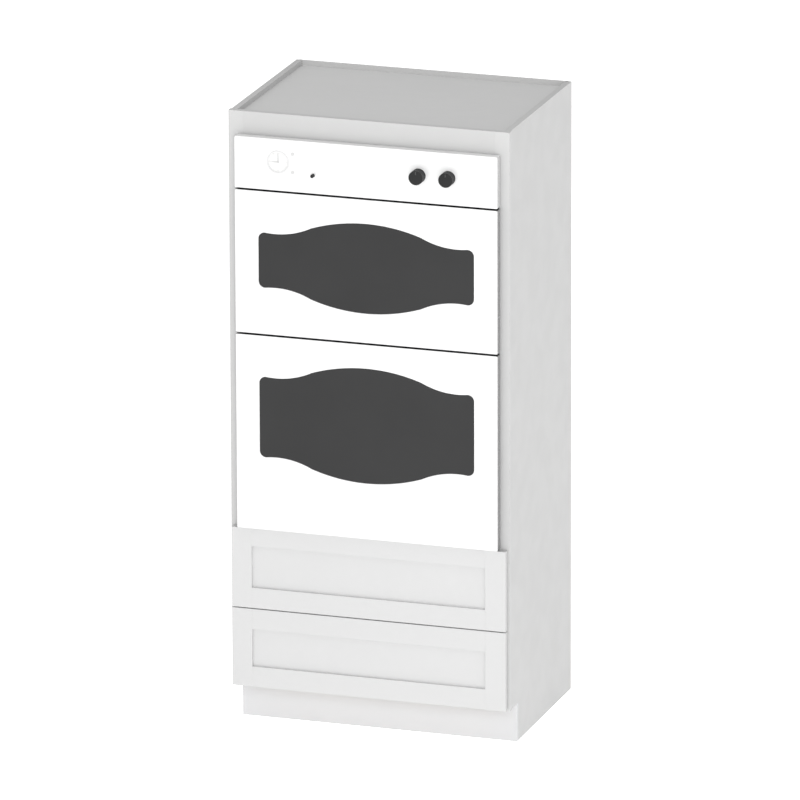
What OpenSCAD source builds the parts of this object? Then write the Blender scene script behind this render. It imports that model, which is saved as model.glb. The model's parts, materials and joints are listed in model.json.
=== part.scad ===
// Tall oven housing unit: a framed kitchen cabinet with a built-in double wall oven over two drawers.
// X runs across the unit, Y from front to back and Z up. Modules are drawn with the front of the
// face frame on y = 0, and place() moves them so that the origin is the centre of the footprint.

/* [Cabinet] */
// Overall width across the face frame
unit_w = 838.2; // [760:0.1:930]
// Overall height from the floor
unit_h = 1828.8; // [1700:0.1:2100]
// Depth from the face frame's front to the back of the carcass
unit_d = 596.9; // [535:0.1:700]
// Thickness of the carcass panels
panel_t = 18; // [15:0.5:22]
// Thickness of the back panel
back_t = 6.35; // [3:0.05:9]
// Depth of the grooves that house the panels in the sides
dado_d = 6; // [3:0.5:9]
// Depth of the open tray above the top panel
tray_d = 15; // [8:1:60]

/* [Face frame] */
// Thickness of the face frame
frame_t = 19; // [16:0.5:25]
// Width of the stiles
stile_w = 44.1; // [38:0.1:60]
// How far the face frame stands past each side panel
frame_overhang = 3.2; // [0:0.1:8]
// Width of the rails below the oven, between the drawers and at the bottom
rail_w = 38.1; // [32:0.1:60]

/* [Toe space] */
// Height of the toe space
toe_h = 114.3; // [90:0.1:150]
// Depth of the toe space behind the face frame's front
toe_d = 79.4; // [50:0.1:110]
// Thickness of the toe board
toe_board_t = 12; // [6:0.5:19]

/* [Drawer fronts] */
// Height of the lower drawer front
lower_front_h = 234.4; // [215:0.1:280]
// Height of the upper drawer front
upper_front_h = 238.8; // [215:0.1:280]
// Thickness of the drawer fronts
front_t = 18; // [16:0.5:22]
// Bumper gap between a drawer front and the face frame
bumper_gap = 1.5; // [1:0.1:3]
// Reveal of face frame round the drawer fronts
front_reveal = 6.4; // [3:0.1:12]
// Gap between the two drawer fronts
front_gap = 3.2; // [2:0.1:6]
// Width of the stiles and rails of a drawer front
shaker_w = 61; // [45:0.5:75]
// Width of the upper front's top rail, cut down to pass under the oven
trimmed_rail_w = 53; // [40:0.5:75]
// Depth of the recess in front of the flat panel
recess_d = 6.5; // [4:0.5:9]
// Thickness of the flat panel
flat_panel_t = 6; // [4:0.5:8]
// Depth of the groove that holds the flat panel
flat_panel_groove = 9; // [6:0.5:12]

/* [Drawer boxes] */
// Clear height over a drawer box in its opening
box_head = 20.25; // [10:0.25:60]
// Clear depth behind the drawer boxes
box_clearance = 44; // [20:1:120]
// Thickness of the drawer box walls
box_t = 13; // [10:0.5:16]
// Thickness of the drawer bottoms
box_bottom_t = 6; // [4:0.5:9]
// Height of a drawer box above the bottom of its opening
box_lift = 15; // [10:1:25]

/* [Drawer slides] */
// Height of the telescopic slides
slide_h = 45; // [35:1:50]
// Thickness of a pair of nested slide members
slide_t = 12.7; // [12:0.1:14]
// Sheet thickness of the slide members
slide_sheet = 1.3; // [1:0.1:1.5]
// Running gap between nested slide members
slide_gap = 0.5; // [0.3:0.1:0.8]

/* [Oven front] */
// Distance from the top of the unit down to the control panel
oven_drop = 66.7; // [60:0.1:200]
// How far the control panel and doors stand in front of the face frame
oven_proud = 28; // [26:0.5:34]
// Gap between the upper drawer front and the lower door
oven_gap = 2.5; // [2:0.1:8]
// Height of the upper door; the lower door takes what is left
upper_door_h = 423.3; // [380:0.1:470]
// Height of the control panel
fascia_h = 152; // [140:0.5:180]
// Gap between the doors and the control panel
door_gap = 4; // [3:0.1:8]
// Overlap of the oven front on the face frame
oven_overlap = 17; // [10:0.5:22]
// Thickness of the oven's front trim frame
trim_t = 2; // [1.5:0.1:3]
// Thickness of a squeezed door gasket
gasket_t = 3; // [2:0.1:4]
// Radius of the control panel's top corners
fascia_r = 5; // [2:0.5:15]

/* [Oven windows] */
// Width of door face beside the windows
window_side = 70; // [60:0.5:110]
// Distance from the head of a door down to its window's shoulders
window_drop = 124.3; // [100:0.1:140]
// Distance from the foot of the lower door up to its window's shoulders
lower_window_rise = 219.2; // [160:0.1:240]
// Distance from the foot of the upper door up to its window's shoulders
upper_window_rise = 140; // [132:0.1:155]
// Rise of an arch's crown over its shoulders
crown_rise = 52.8; // [35:0.1:56]
// Share of a window's width that the crown takes, from kink to kink
crown_share = 0.512; // [0.4:0.001:0.6]
// Share of a window's width between the lowest points of its shoulders
shoulder_share = 0.845; // [0.8:0.001:0.88]
// Radius of the hollow shoulder arcs
shoulder_r = 240; // [200:1:300]
// Radius of a window's corners
window_r = 19; // [10:1:30]

/* [Oven body] */
// Clear depth behind the oven case
case_clearance = 51.9; // [45:0.1:120]
// Sheet thickness of case, cavities and door skins
sheet_t = 2; // [1.5:0.1:3]
// Gap round the oven case in its opening
case_gap = 9.5; // [6:0.5:15]
// Distance from the edge of the cut-out in to the inside of a cavity
cavity_side = 60; // [56:0.5:80]
// Distance from the back of the case in to the inside of a cavity
cavity_back = 85; // [60:1:120]
// Height of the lowest rack ledge in a cavity
ledge_rise = 60; // [50:1:80]
// Height from one rack ledge to the next
ledge_pitch = 75; // [60:1:100]
// Height of a cavity's floor above the foot of its door
cavity_lift = 66; // [60:1:80]
// Distance from a cavity's roof down from the top of its door
cavity_drop = 46; // [35:1:60]
// Thickness of the window glass and inner glass
glass_t = 4; // [3:0.5:5]

/* [Door hinges] */
// Height of a door's hinge pin above its foot
pin_z = 13; // [12.5:0.5:14]
// Depth of a door's hinge pin behind its front
pin_y = 8.5; // [8.5:0.1:9]
// Diameter of the hinge pins
pin_d = 6; // [5:0.5:7]
// Thickness of the fixed hinge arms
arm_t = 6; // [4:0.5:8]

/* [Controls] */
// Diameter of the knobs
knob_d = 42; // [30:1:50]
// Length of the knobs
knob_l = 28.5; // [20:0.5:35]
// Distance from the right end of the control panel to the function knob
function_knob_side = 233.6; // [220:0.1:250]
// Distance from the right end of the control panel to the temperature knob
temperature_knob_side = 145.3; // [80:0.1:160]
// Height of the knobs above the foot of the control panel
knob_z = 79.7; // [60:0.1:90]
// Diameter of the knob spindles
spindle_d = 6; // [5:0.5:8]
// Diameter of the timer button
timer_d = 10; // [8:0.5:14]
// Length of the timer button in front of the control panel
timer_l = 13; // [8:0.5:16]
// Travel of the timer button
timer_travel = 4; // [2:0.5:6]
// Distance from the left end of the control panel to the timer button
timer_side = 236; // [225:0.5:250]
// Height of the timer button above the foot of the control panel
timer_z = 54.4; // [45:0.1:60]
// Diameter of the clock setting buttons
clock_button_d = 10; // [7:0.5:12]
// Length of the clock setting buttons in front of the control panel
clock_button_l = 2; // [1.6:0.1:4]
// Travel of the clock setting buttons
clock_button_travel = 1.5; // [1:0.1:1.5]
// Distance of the clock setting buttons to the side of the clock's middle
clock_button_reach = 44; // [42:0.1:55]
// Distance between the clock setting buttons
clock_button_pitch = 53.5; // [30:0.5:60]

/* [Clock] */
// Diameter of the clock's bezel
clock_d = 68; // [55:1:74]
// Distance from the left end of the control panel to the clock's middle
clock_side = 130.3; // [100:0.1:137]
// Height of the clock above the foot of the control panel
clock_z = 84.5; // [70:0.1:95]
// Length of the minute hand
minute_hand_l = 26; // [18:0.5:27]
// Length of the hour hand
hour_hand_l = 19; // [12:0.5:22]

/* [Hidden] */
$fn = 64;

// Shared clearances and small sizes; over is how far a cutter reaches past the face it cuts
eps = 0.01;
over = 1;
running = 0.05;
knob_gap = 0.6;
flange_gap = 0.3;

// Carcass
side_x = unit_w / 2 - frame_overhang;
inner_x = side_x - panel_t;
back_y = unit_d - back_t;
floor_top = toe_h + rail_w;
tray_floor = unit_h - tray_d;
top_t = 12;
rabbet = panel_t / 2;
nailer_t = 18;
nailer_h = 89;

// Vertical stack of the fronts
lower_front_z = toe_h + front_reveal;
upper_front_z = lower_front_z + lower_front_h + front_gap;
oven_z = upper_front_z + upper_front_h + oven_gap;
oven_top = unit_h - oven_drop;
fascia_z = oven_top - fascia_h;
upper_door_z = fascia_z - door_gap - upper_door_h;
lower_door_h = upper_door_z - door_gap - oven_z;

// Openings of the face frame
cutout_w = unit_w - 2 * stile_w;
oven_w = cutout_w + 2 * oven_overlap;
cutout_z = oven_z + oven_overlap;
cutout_top = oven_top - oven_overlap;
drawer_rail_z = upper_front_z - (front_gap + rail_w) / 2;
oven_rail_z = cutout_z - rail_w;
lower_open_z = toe_h + rail_w;
upper_open_z = drawer_rail_z + rail_w;

// Drawer fronts and boxes
front_y = -bumper_gap - front_t;
front_w = unit_w - 2 * front_reveal;
flat_panel_y = front_y + recess_d;
box_w = cutout_w - 2 * slide_t;
box_y = -bumper_gap;
box_l = back_y - nailer_t - box_clearance - box_y;
box_h = min(drawer_rail_z - lower_open_z, oven_rail_z - upper_open_z) - box_lift - box_head;
box_floor = 12;
slide_y = 3;
slide_short = 10;
outer_share = 0.75;
middle_share = 0.85;
slide_l = box_l - slide_short;
middle_short = 6;
slide_x = cutout_w / 2;
outer_half = slide_h / 2;
middle_half = outer_half - slide_sheet - slide_gap;
inner_half = middle_half - slide_sheet - slide_gap;
cleat_margin = 5;
slide_cleat_h = slide_h + 2 * cleat_margin;
platform_cleat_h = 25;

// Gaskets and cavity mouths
cavity_w = cutout_w - 2 * cavity_side;
gasket_w = 10;
gasket_r = 18;
gasket_inset = 4;
cavity_flange = 10;

// Doors
door_y = -oven_proud;
door_back = -trim_t - gasket_t;
door_t = door_back - door_y;
door_foot_r = 3;
door_heel_r = 8;
door_liner_t = 2;
pin_world_y = door_y + pin_y;
window_w = oven_w - 2 * window_side;
lower_window_h = lower_door_h - lower_window_rise - window_drop;
upper_window_h = upper_door_h - upper_window_rise - window_drop;
window_lap = 12;
pane_r = 10;
glass_lap = 10;
plate_w = 28;
plate_t = 3;
plate_gap = 1;
hinge_x = cavity_w / 2 + cavity_flange + plate_gap + plate_w / 2;
cheek_t = 3;
cheek_gap = 1.5;
cheek_top = 60;
cheek_web = 12;
arm_root_foot = 12;
arm_root_top = 38;
arm_notch_gap = 4;
arm_notch_top = arm_root_top + arm_notch_gap;
cheek_foot = 6;
cheek_back = 4;
liner_inset = 30;
liner_corner_r = 2;
liner_r = 20;
arm_boss = 3;
arm_nose = 2;
plate_foot = 4;
plate_head = 28;
slot_slack = 1;

// Oven body
case_w = cutout_w - 2 * case_gap;
case_d = unit_d - case_clearance;
case_head = 4.5;
case_top = cutout_top - case_head;
cavity_d = case_d - cavity_back;
cover_w = 100;
cover_h = 70;
cover_d = 18;
cover_inset = 60;
louvre_l = 90;
louvre_h = 5;
louvre_pitch = 16;
louvre_drop = 46;
louvre_count = 5;
trim_side = 3;
trim_w = oven_w - 2 * trim_side;
trim_edge = 1.5;
trim_r = 3;
ledge_h = 4;
ledge_w = 8;
ledge_y = 14;
ledge_short = 40;
ledge_l = cavity_d - ledge_short;
ledge_head = 60;
cavity_r = gasket_r - gasket_inset;
lower_cavity_z = oven_z + cavity_lift;
lower_cavity_h = lower_door_h - cavity_lift - cavity_drop;
upper_cavity_z = upper_door_z + cavity_lift;
upper_cavity_h = upper_door_h - cavity_lift - cavity_drop;
control_bay_inset = 12;
control_bay_z = fascia_z + control_bay_inset;
control_bay_top = case_top - control_bay_inset;
control_bay_r = 4;

// Racks
rack_wire = 5;
rack_bar = 3.2;
rack_pitch = 26;
rack_gap = 2;
rack_front = 8;
rack_back = 4;
lower_rack_ledge = 2;
upper_rack_ledge = 1;

// Heating elements and lamps
element_d = 6.5;
element_bend = 22;
element_lift = 22;
element_side = 60;
element_front = 60;
element_jog = 60;
element_tail = 30;
bake_gap = cavity_w * 0.19;
broil_gap = cavity_w * 0.24;
lamp_collar_d = 56;
lamp_collar_t = 4;
lamp_dome_d = 44;
lamp_dome_sink = 11;
lamp_side = 90;
lamp_drop = 82;

// Screws that hold the oven
screw_d = 4.5;
screw_head_d = 8;
screw_head_h = 2;
screw_l = 15;
screw_x = (cutout_w / 2 + trim_w / 2) / 2;
screw_inset = 60;

// Controls
fascia_t = 2.5;
fascia_back = door_y + fascia_t;
knob_skirt = 4;
knob_hollow = 7;
knob_rim = 1.5;
spindle_grip = 19;
spindle_end_gap = 0.5;
spindle_reach = 16;
pointer_w = 1.4;
pointer_d = 0.6;
board_y = -11;
board_t = 1.6;
retainer_t = 1;
retainer_lip = 1.5;
button_stem = 2;
button_slack = 0.1;
spindle_slack = 1;
switch_d = 34;
switch_l = 22;
switch_floor = 4;
button_switch_w = 11;
movement_w = 48;
board_margin = 5;
board_post_d = 6;

// Places of the controls
knob_height = fascia_z + knob_z;
timer_height = fascia_z + timer_z;
clock_height = fascia_z + clock_z;
function_knob_x = oven_w / 2 - function_knob_side;
temperature_knob_x = oven_w / 2 - temperature_knob_side;
timer_x = oven_w / 2 - timer_side;
clock_x = oven_w / 2 - clock_side;
clock_button_x = clock_x - clock_button_reach;

// Clock
lens_t = 1;
lens_set = 0.2;
dial_y = door_y + fascia_t;
dial_t = 1.5;
bezel_w = 3;
bezel_proud = 1.2;
barrel_t = 1.5;
arbor_d = 2;
arbor_l = 2.4;
hand_t = 0.4;
hand_gap = 0.4;
hour_hub_d = 5;
hour_hand_w = [2.6, 1.6];
minute_hub_d = 4.4;
minute_hand_w = [2, 1];

// Footprint centre behind the face frame's front
footprint_y = (unit_d - oven_proud - knob_gap - knob_l) / 2;

// ---------------------------------------------------------------- helpers

// Moves the drawing frame so that the origin is the centre of the footprint
module place() {
    translate([0, -footprint_y, 0]) children();
}

// A block between two opposite corners
module span(low, high) {
    translate(low) cube(high - low);
}

// The children and their mirror image across the middle of the unit
module both_sides() {
    children();
    mirror([1, 0, 0]) children();
}

// Extrudes an outline drawn in X and Z from y0 back to y1
module along_y(y0, y1) {
    translate([0, y1, 0]) rotate([90, 0, 0]) linear_extrude(y1 - y0) children();
}

// Extrudes an outline drawn in Y and Z from x0 to x1
module along_x(x0, x1) {
    translate([x0, 0, 0]) rotate([90, 0, 90]) linear_extrude(x1 - x0) children();
}

// A round bar along Y
module bar_y(x, z, y0, y1, d) {
    translate([x, y0, z]) rotate([-90, 0, 0]) cylinder(d = d, h = y1 - y0);
}

// A round bar along X
module bar_x(y, z, x0, x1, d) {
    translate([x0, y, z]) rotate([0, 90, 0]) cylinder(d = d, h = x1 - x0);
}

// A rectangle with its own radius at each corner: low left, low right, top right, top left
module soft_rect(low, high, radii) {
    corners = [low, [high.x, low.y], high, [low.x, high.y]];
    inward = [[1, 1], [-1, 1], [-1, -1], [1, -1]];
    difference() {
        translate(low) square(high - low);
        for (i = [0:3]) {
            r = radii[i];
            if (r > 0) corner_waste(corners[i], inward[i], r);
        }
    }
}

// What a rounded corner takes off a square one
module corner_waste(corner, inward, r) {
    difference() {
        translate(corner + [min(0, inward.x), min(0, inward.y)] * r) square(r);
        translate(corner + inward * r) circle(r);
    }
}

// A rectangle with four equal corners
module round_rect(low, high, r) {
    soft_rect(low, high, [r, r, r, r]);
}

// ---------------------------------------------------------------- carcass

// A side panel with its toe notch, the grooves of three shelves and the rabbet of the back
module side_panel() {
    difference() {
        span([inner_x, frame_t, 0], [side_x, unit_d, unit_h]);
        span([inner_x - over, frame_t - over, -over],
             [side_x + over, toe_d + toe_board_t, toe_h]);
        for (shelf = [[floor_top - panel_t, panel_t], [cutout_z - panel_t, panel_t],
                      [tray_floor - top_t, top_t]])
            span([inner_x - over, frame_t - over, shelf[0]],
                 [inner_x + dado_d, back_y, shelf[0] + shelf[1]]);
        span([inner_x - over, back_y, floor_top - panel_t],
             [inner_x + rabbet, unit_d + over, unit_h + over]);
    }
}

module left_side_panel() {
    color("#d6d6d4") place() mirror([1, 0, 0]) side_panel();
}

module right_side_panel() {
    color("#d6d6d4") place() side_panel();
}

// A panel housed in the grooves of both sides, from the frame to the back
module housed_panel(z, t) {
    span([-inner_x - dado_d, frame_t, z], [inner_x + dado_d, back_y, z + t]);
}

module top_panel() {
    color("#bcbcba") place() housed_panel(tray_floor - top_t, top_t);
}

module floor_panel() {
    color("#c9c4b8") place() housed_panel(floor_top - panel_t, panel_t);
}

module oven_platform() {
    color("#c9c4b8") place() housed_panel(cutout_z - panel_t, panel_t);
}

module back_panel() {
    color("#d2cec4") place()
        span([-inner_x - rabbet, back_y, floor_top - panel_t], [inner_x + rabbet, unit_d, unit_h]);
}

// Rails behind the back panel's face that take the wall screws
module back_nailers() {
    color("#c9b994") place() {
        span([-inner_x, back_y - nailer_t, tray_floor - top_t - nailer_h],
             [inner_x, back_y, tray_floor - top_t]);
        span([-inner_x, back_y - nailer_t, cutout_z - panel_t - nailer_h],
             [inner_x, back_y, cutout_z - panel_t]);
    }
}

// Strips under the oven platform and blocks that bring the slides flush with the stiles
module inner_cleats() {
    color("#c9b994") place() both_sides() {
        span([inner_x - panel_t, frame_t, cutout_z - panel_t - platform_cleat_h],
             [inner_x, back_y - nailer_t, cutout_z - panel_t]);
        for (z = [slide_z(lower_open_z), slide_z(upper_open_z)])
            span([cutout_w / 2, frame_t, z - slide_cleat_h / 2],
                 [inner_x, slide_y + slide_l, z + slide_cleat_h / 2]);
    }
}

module toe_board() {
    color("#e6e6e4") place() span([-side_x, toe_d, 0], [side_x, toe_d + toe_board_t, toe_h]);
}

// ---------------------------------------------------------------- face frame

module frame_stiles() {
    color("#dcdcda") place() difference() {
        both_sides() span([cutout_w / 2, 0, toe_h], [unit_w / 2, frame_t, unit_h]);
        fixing_screw_shanks();
    }
}

module frame_rails() {
    color("#dcdcda") place() {
        for (rail = [[toe_h, rail_w], [drawer_rail_z, rail_w], [oven_rail_z, rail_w],
                     [cutout_top, unit_h - cutout_top]])
            span([-cutout_w / 2, 0, rail[0]], [cutout_w / 2, frame_t, rail[0] + rail[1]]);
    }
}

// ---------------------------------------------------------------- drawers

// Height of the middle of the slides of the drawer in the opening that starts at z
function slide_z(z) = z + box_lift + box_h / 2;

// The two stiles of a framed front, grooved for the flat panel
module front_stiles(z, h) {
    both_sides() difference() {
        span([front_w / 2 - shaker_w, front_y, z], [front_w / 2, -bumper_gap, z + h]);
        span([front_w / 2 - shaker_w - over, flat_panel_y, z + shaker_w - flat_panel_groove],
             [front_w / 2 - shaker_w + flat_panel_groove, flat_panel_y + flat_panel_t,
              z + h + over]);
    }
}

// One rail between the stiles, with the groove on its inner edge
module front_rail(z0, z1, groove_z0, groove_z1) {
    difference() {
        span([-front_w / 2 + shaker_w, front_y, z0], [front_w / 2 - shaker_w, -bumper_gap, z1]);
        span([-front_w / 2, flat_panel_y, groove_z0],
             [front_w / 2, flat_panel_y + flat_panel_t, groove_z1]);
    }
}

module front_rails(z, h, top_rail_w) {
    foot = z + shaker_w;
    head = z + h - top_rail_w;
    front_rail(z, foot, foot - flat_panel_groove, foot + over);
    front_rail(head, z + h, head - over, head + flat_panel_groove);
}

module front_panel(z, h, top_rail_w) {
    reach = front_w / 2 - shaker_w + flat_panel_groove;
    span([-reach, flat_panel_y, z + shaker_w - flat_panel_groove],
         [reach, flat_panel_y + flat_panel_t, z + h - top_rail_w + flat_panel_groove]);
}

// The groove round a drawer box that holds its bottom
module bottom_groove(open_z) {
    drawer_bottom(open_z, box_t / 2);
}

// The bottom of a drawer box, let into its walls
module drawer_bottom(open_z, let_in) {
    z = open_z + box_lift + box_floor;
    span([-box_w / 2 + box_t - let_in, box_y + box_t - let_in, z],
         [box_w / 2 - box_t + let_in, box_y + box_l - box_t + let_in, z + box_bottom_t]);
}

module drawer_sides(open_z) {
    z = open_z + box_lift;
    difference() {
        both_sides() span([box_w / 2 - box_t, box_y, z], [box_w / 2, box_y + box_l, z + box_h]);
        bottom_groove(open_z);
    }
}

module drawer_ends(open_z) {
    z = open_z + box_lift;
    reach = box_w / 2 - box_t;
    difference() {
        for (y = [box_y, box_y + box_l - box_t])
            span([-reach, y, z], [reach, y + box_t, z + box_h]);
        bottom_groove(open_z);
    }
}

// One channel of a telescopic slide: its web at x0, its flanges running to x1
module channel(x0, x1, half_h, z, y0, y1) {
    web = x0 < x1 ? [x0, x0 + slide_sheet] : [x0 - slide_sheet, x0];
    low = min(x0, x1);
    high = max(x0, x1);
    span([web[0], y0, z - half_h], [web[1], y1, z + half_h]);
    for (side = [-1, 1])
        span([low, y0, z + side * (half_h - slide_sheet / 2) - slide_sheet / 2],
             [high, y1, z + side * (half_h - slide_sheet / 2) + slide_sheet / 2]);
}

module slide_outer_pair(open_z) {
    both_sides() channel(slide_x, slide_x - slide_t * outer_share, outer_half, slide_z(open_z),
                         slide_y, slide_y + slide_l);
}

module slide_middle_pair(open_z) {
    both_sides() channel(slide_x - slide_sheet - slide_gap, slide_x - slide_t * middle_share, middle_half,
                         slide_z(open_z), slide_y, slide_y + slide_l - middle_short);
}

module slide_inner_pair(open_z) {
    both_sides() channel(slide_x - slide_t, slide_x - 2 * (slide_sheet + slide_gap), inner_half,
                         slide_z(open_z), slide_y, slide_y + slide_l - 2 * middle_short);
}

module lower_drawer_stiles() {
    color("#eaeae8") place() front_stiles(lower_front_z, lower_front_h);
}

module lower_drawer_rails() {
    color("#eaeae8") place() front_rails(lower_front_z, lower_front_h, shaker_w);
}

module lower_drawer_panel() {
    color("#e6e6e4") place() front_panel(lower_front_z, lower_front_h, shaker_w);
}

module lower_drawer_sides() {
    color("#d9c7a0") place() drawer_sides(lower_open_z);
}

module lower_drawer_ends() {
    color("#d9c7a0") place() drawer_ends(lower_open_z);
}

module lower_drawer_bottom() {
    color("#e0d2b2") place() drawer_bottom(lower_open_z, box_t / 2);
}

module lower_slide_inner() {
    color("#c2c4c6") place() slide_inner_pair(lower_open_z);
}

module lower_slide_middle() {
    color("#b4b6b8") place() slide_middle_pair(lower_open_z);
}

module upper_drawer_stiles() {
    color("#eaeae8") place() front_stiles(upper_front_z, upper_front_h);
}

module upper_drawer_rails() {
    color("#eaeae8") place() front_rails(upper_front_z, upper_front_h, trimmed_rail_w);
}

module upper_drawer_panel() {
    color("#e6e6e4") place() front_panel(upper_front_z, upper_front_h, trimmed_rail_w);
}

module upper_drawer_sides() {
    color("#d9c7a0") place() drawer_sides(upper_open_z);
}

module upper_drawer_ends() {
    color("#d9c7a0") place() drawer_ends(upper_open_z);
}

module upper_drawer_bottom() {
    color("#e0d2b2") place() drawer_bottom(upper_open_z, box_t / 2);
}

module upper_slide_inner() {
    color("#c2c4c6") place() slide_inner_pair(upper_open_z);
}

module upper_slide_middle() {
    color("#b4b6b8") place() slide_middle_pair(upper_open_z);
}

module slide_outer() {
    color("#a8aaac") place() {
        slide_outer_pair(lower_open_z);
        slide_outer_pair(upper_open_z);
    }
}

// ---------------------------------------------------------------- oven body

// The outer case: an open-fronted box with louvres in its sides and a terminal cover behind
module oven_case() {
    half = case_w / 2;
    louvre_end = case_d - cover_inset;
    color("#b9bbbd") place() difference() {
        union() {
            span([-half, 0, cutout_z], [half, case_d, case_top]);
            span([half - cover_inset - cover_w, case_d - over, case_top - cover_inset - cover_h],
                 [half - cover_inset, case_d + cover_d, case_top - cover_inset]);
        }
        span([-half + sheet_t, -over, cutout_z + sheet_t],
             [half - sheet_t, case_d - sheet_t, case_top - sheet_t]);
        along_x(-half - over, half + over) for (i = [0:louvre_count - 1]) {
            z = case_top - louvre_drop - i * louvre_pitch;
            round_rect([louvre_end - louvre_l, z], [louvre_end, z + louvre_h], louvre_h / 2);
        }
    }
}

// The front trim frame with the mouths of both cavities and the control bay
module front_trim() {
    half = trim_w / 2;
    color("#4a4c50") place() difference() {
        along_y(-trim_t, 0) difference() {
            round_rect([-half, oven_z + trim_edge], [half, oven_top - trim_edge], trim_r);
            cavity_outline(lower_cavity_z, lower_cavity_h, 0);
            cavity_outline(upper_cavity_z, upper_cavity_h, 0);
            round_rect([-cavity_w / 2, control_bay_z], [cavity_w / 2, control_bay_top],
                       control_bay_r);
        }
        hinge_slots();
        fixing_screw_shanks();
    }
}

// The places of the four screws that hold the oven to the stiles
module at_fixing_screws() {
    both_sides() for (z = [lower_cavity_z + screw_inset,
                           upper_cavity_z + upper_cavity_h - screw_inset])
        translate([screw_x, 0, z]) children();
}

module fixing_screw_shanks() {
    at_fixing_screws() bar_y(0, 0, -trim_t - over, screw_l, screw_d);
}

module fixing_screws() {
    color("#cfd1d3") place() at_fixing_screws() {
        bar_y(0, 0, -trim_t, screw_l, screw_d);
        bar_y(0, 0, -trim_t - screw_head_h, -trim_t, screw_head_d);
    }
}

// A cavity: a five-sided box with a flange round its mouth and pressed ledges for the racks
module cavity(z, h) {
    difference() {
        union() {
            along_y(0, cavity_d + sheet_t) cavity_outline(z, h, sheet_t);
            along_y(0, sheet_t) cavity_outline(z, h, cavity_flange);
        }
        along_y(-over, cavity_d) cavity_outline(z, h, 0);
    }
    both_sides() for (level = rack_levels(z, h))
        ledge(cavity_w / 2, level);
}

// The inside outline of a cavity, grown by this much
module cavity_outline(z, h, grow) {
    round_rect([-cavity_w / 2 - grow, z - grow], [cavity_w / 2 + grow, z + h + grow],
               cavity_r + grow);
}

// Heights of the rack ledges of a cavity
function rack_levels(z, h) =
    [for (i = [0:floor((h - ledge_rise - ledge_head) / ledge_pitch)])
        z + ledge_rise + i * ledge_pitch];

// One pressed ledge with round ends, standing in from the cavity's side wall
module ledge(half, z) {
    along_x(half - ledge_w, half + eps)
        round_rect([ledge_y, z - ledge_h], [ledge_y + ledge_l, z], ledge_h / 2);
}

module lower_cavity() {
    color("#3c4048") place() cavity(lower_cavity_z, lower_cavity_h);
}

module upper_cavity() {
    color("#3c4048") place() cavity(upper_cavity_z, upper_cavity_h);
}

// A wire rack: a frame of heavy wire with fine bars between its front and back
module rack(ledge_z) {
    z = ledge_z + rack_wire / 2;
    half = cavity_w / 2 - rack_gap - rack_wire / 2;
    y0 = ledge_y + rack_front;
    y1 = ledge_y + ledge_l - rack_back;
    count = floor((2 * half - rack_pitch) / rack_pitch);
    start = -count * rack_pitch / 2;
    for (side = [-1, 1])
        bar_y(side * half, z, y0 - rack_wire / 2, y1 + rack_wire / 2, rack_wire);
    for (y = [y0, y1])
        bar_x(y, z, -half, half, rack_wire);
    for (i = [0:count])
        bar_y(start + i * rack_pitch, z, y0, y1, rack_bar);
}

module oven_racks() {
    color("#d0d2d4") place() {
        rack(rack_levels(lower_cavity_z, lower_cavity_h)[lower_rack_ledge]);
        rack(rack_levels(upper_cavity_z, upper_cavity_h)[upper_rack_ledge]);
    }
}

// A bent heating tube in a flat plane: straight runs with a round bend at each inner point
module bent_tube(points) {
    last = len(points) - 1;
    for (i = [0:last - 1]) {
        along = unit(points[i + 1] - points[i]);
        p = points[i] + (i == 0 ? 0 : element_bend) * along;
        q = points[i + 1] - (i == last - 1 ? 0 : element_bend) * along;
        translate([p.x, p.y, 0]) rotate([0, 90, atan2(along.y, along.x)])
            cylinder(d = element_d, h = norm(q - p));
    }
    for (i = [1:last - 1])
        tube_bend(points[i], unit(points[i] - points[i - 1]), unit(points[i + 1] - points[i]));
}

// The quarter bend at a corner where a tube that runs along one direction leaves along another
module tube_bend(corner, arriving, leaving) {
    centre = corner + (leaving - arriving) * element_bend;
    turns_left = arriving.x * leaving.y > arriving.y * leaving.x;
    from = turns_left ? -leaving : arriving;
    translate([centre.x, centre.y, 0]) rotate([0, 0, atan2(from.y, from.x)])
        rotate_extrude(angle = 90) translate([element_bend, 0]) circle(d = element_d);
}

function unit(v) = v / norm(v);

// The heating tube of one cavity floor or roof, with both ends in the back wall
module heating_loop(z, gap) {
    side = cavity_w / 2 - element_side;
    back = cavity_d - element_jog;
    inner = back - element_jog;
    translate([0, 0, z])
        bent_tube([[-element_tail, cavity_d], [-element_tail, inner], [-gap, inner],
                   [-gap, back], [-side, back], [-side, element_front],
                   [side, element_front], [side, back], [gap, back],
                   [gap, inner], [element_tail, inner], [element_tail, cavity_d]]);
}

module heating_elements() {
    color("#55565a") place()
        for (cavity = [[lower_cavity_z, lower_cavity_h], [upper_cavity_z, upper_cavity_h]]) {
            heating_loop(cavity[0] + element_lift, bake_gap);
            heating_loop(cavity[0] + cavity[1] - element_lift, broil_gap);
        }
}

// A glass lamp dome with its collar, on the back wall of each cavity
module oven_lamps() {
    color("#e8e4d2") place()
        for (top = [lower_cavity_z + lower_cavity_h, upper_cavity_z + upper_cavity_h])
            translate([cavity_w / 2 - lamp_side, cavity_d, top - lamp_drop]) rotate([90, 0, 0]) {
                cylinder(d = lamp_collar_d, h = lamp_collar_t);
                intersection() {
                    translate([0, 0, lamp_collar_t - lamp_dome_sink]) sphere(d = lamp_dome_d);
                    cylinder(d = lamp_dome_d, h = lamp_dome_d);
                }
            }
}

// Gasket rings on the trim, round the mouth of each cavity
module door_gaskets() {
    color("#2c2d30") place()
        for (cavity = [[lower_cavity_z, lower_cavity_h], [upper_cavity_z, upper_cavity_h]])
            along_y(door_back, -trim_t) difference() {
                cavity_outline(cavity[0], cavity[1], gasket_inset + gasket_w);
                cavity_outline(cavity[0], cavity[1], gasket_inset);
            }
}

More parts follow.
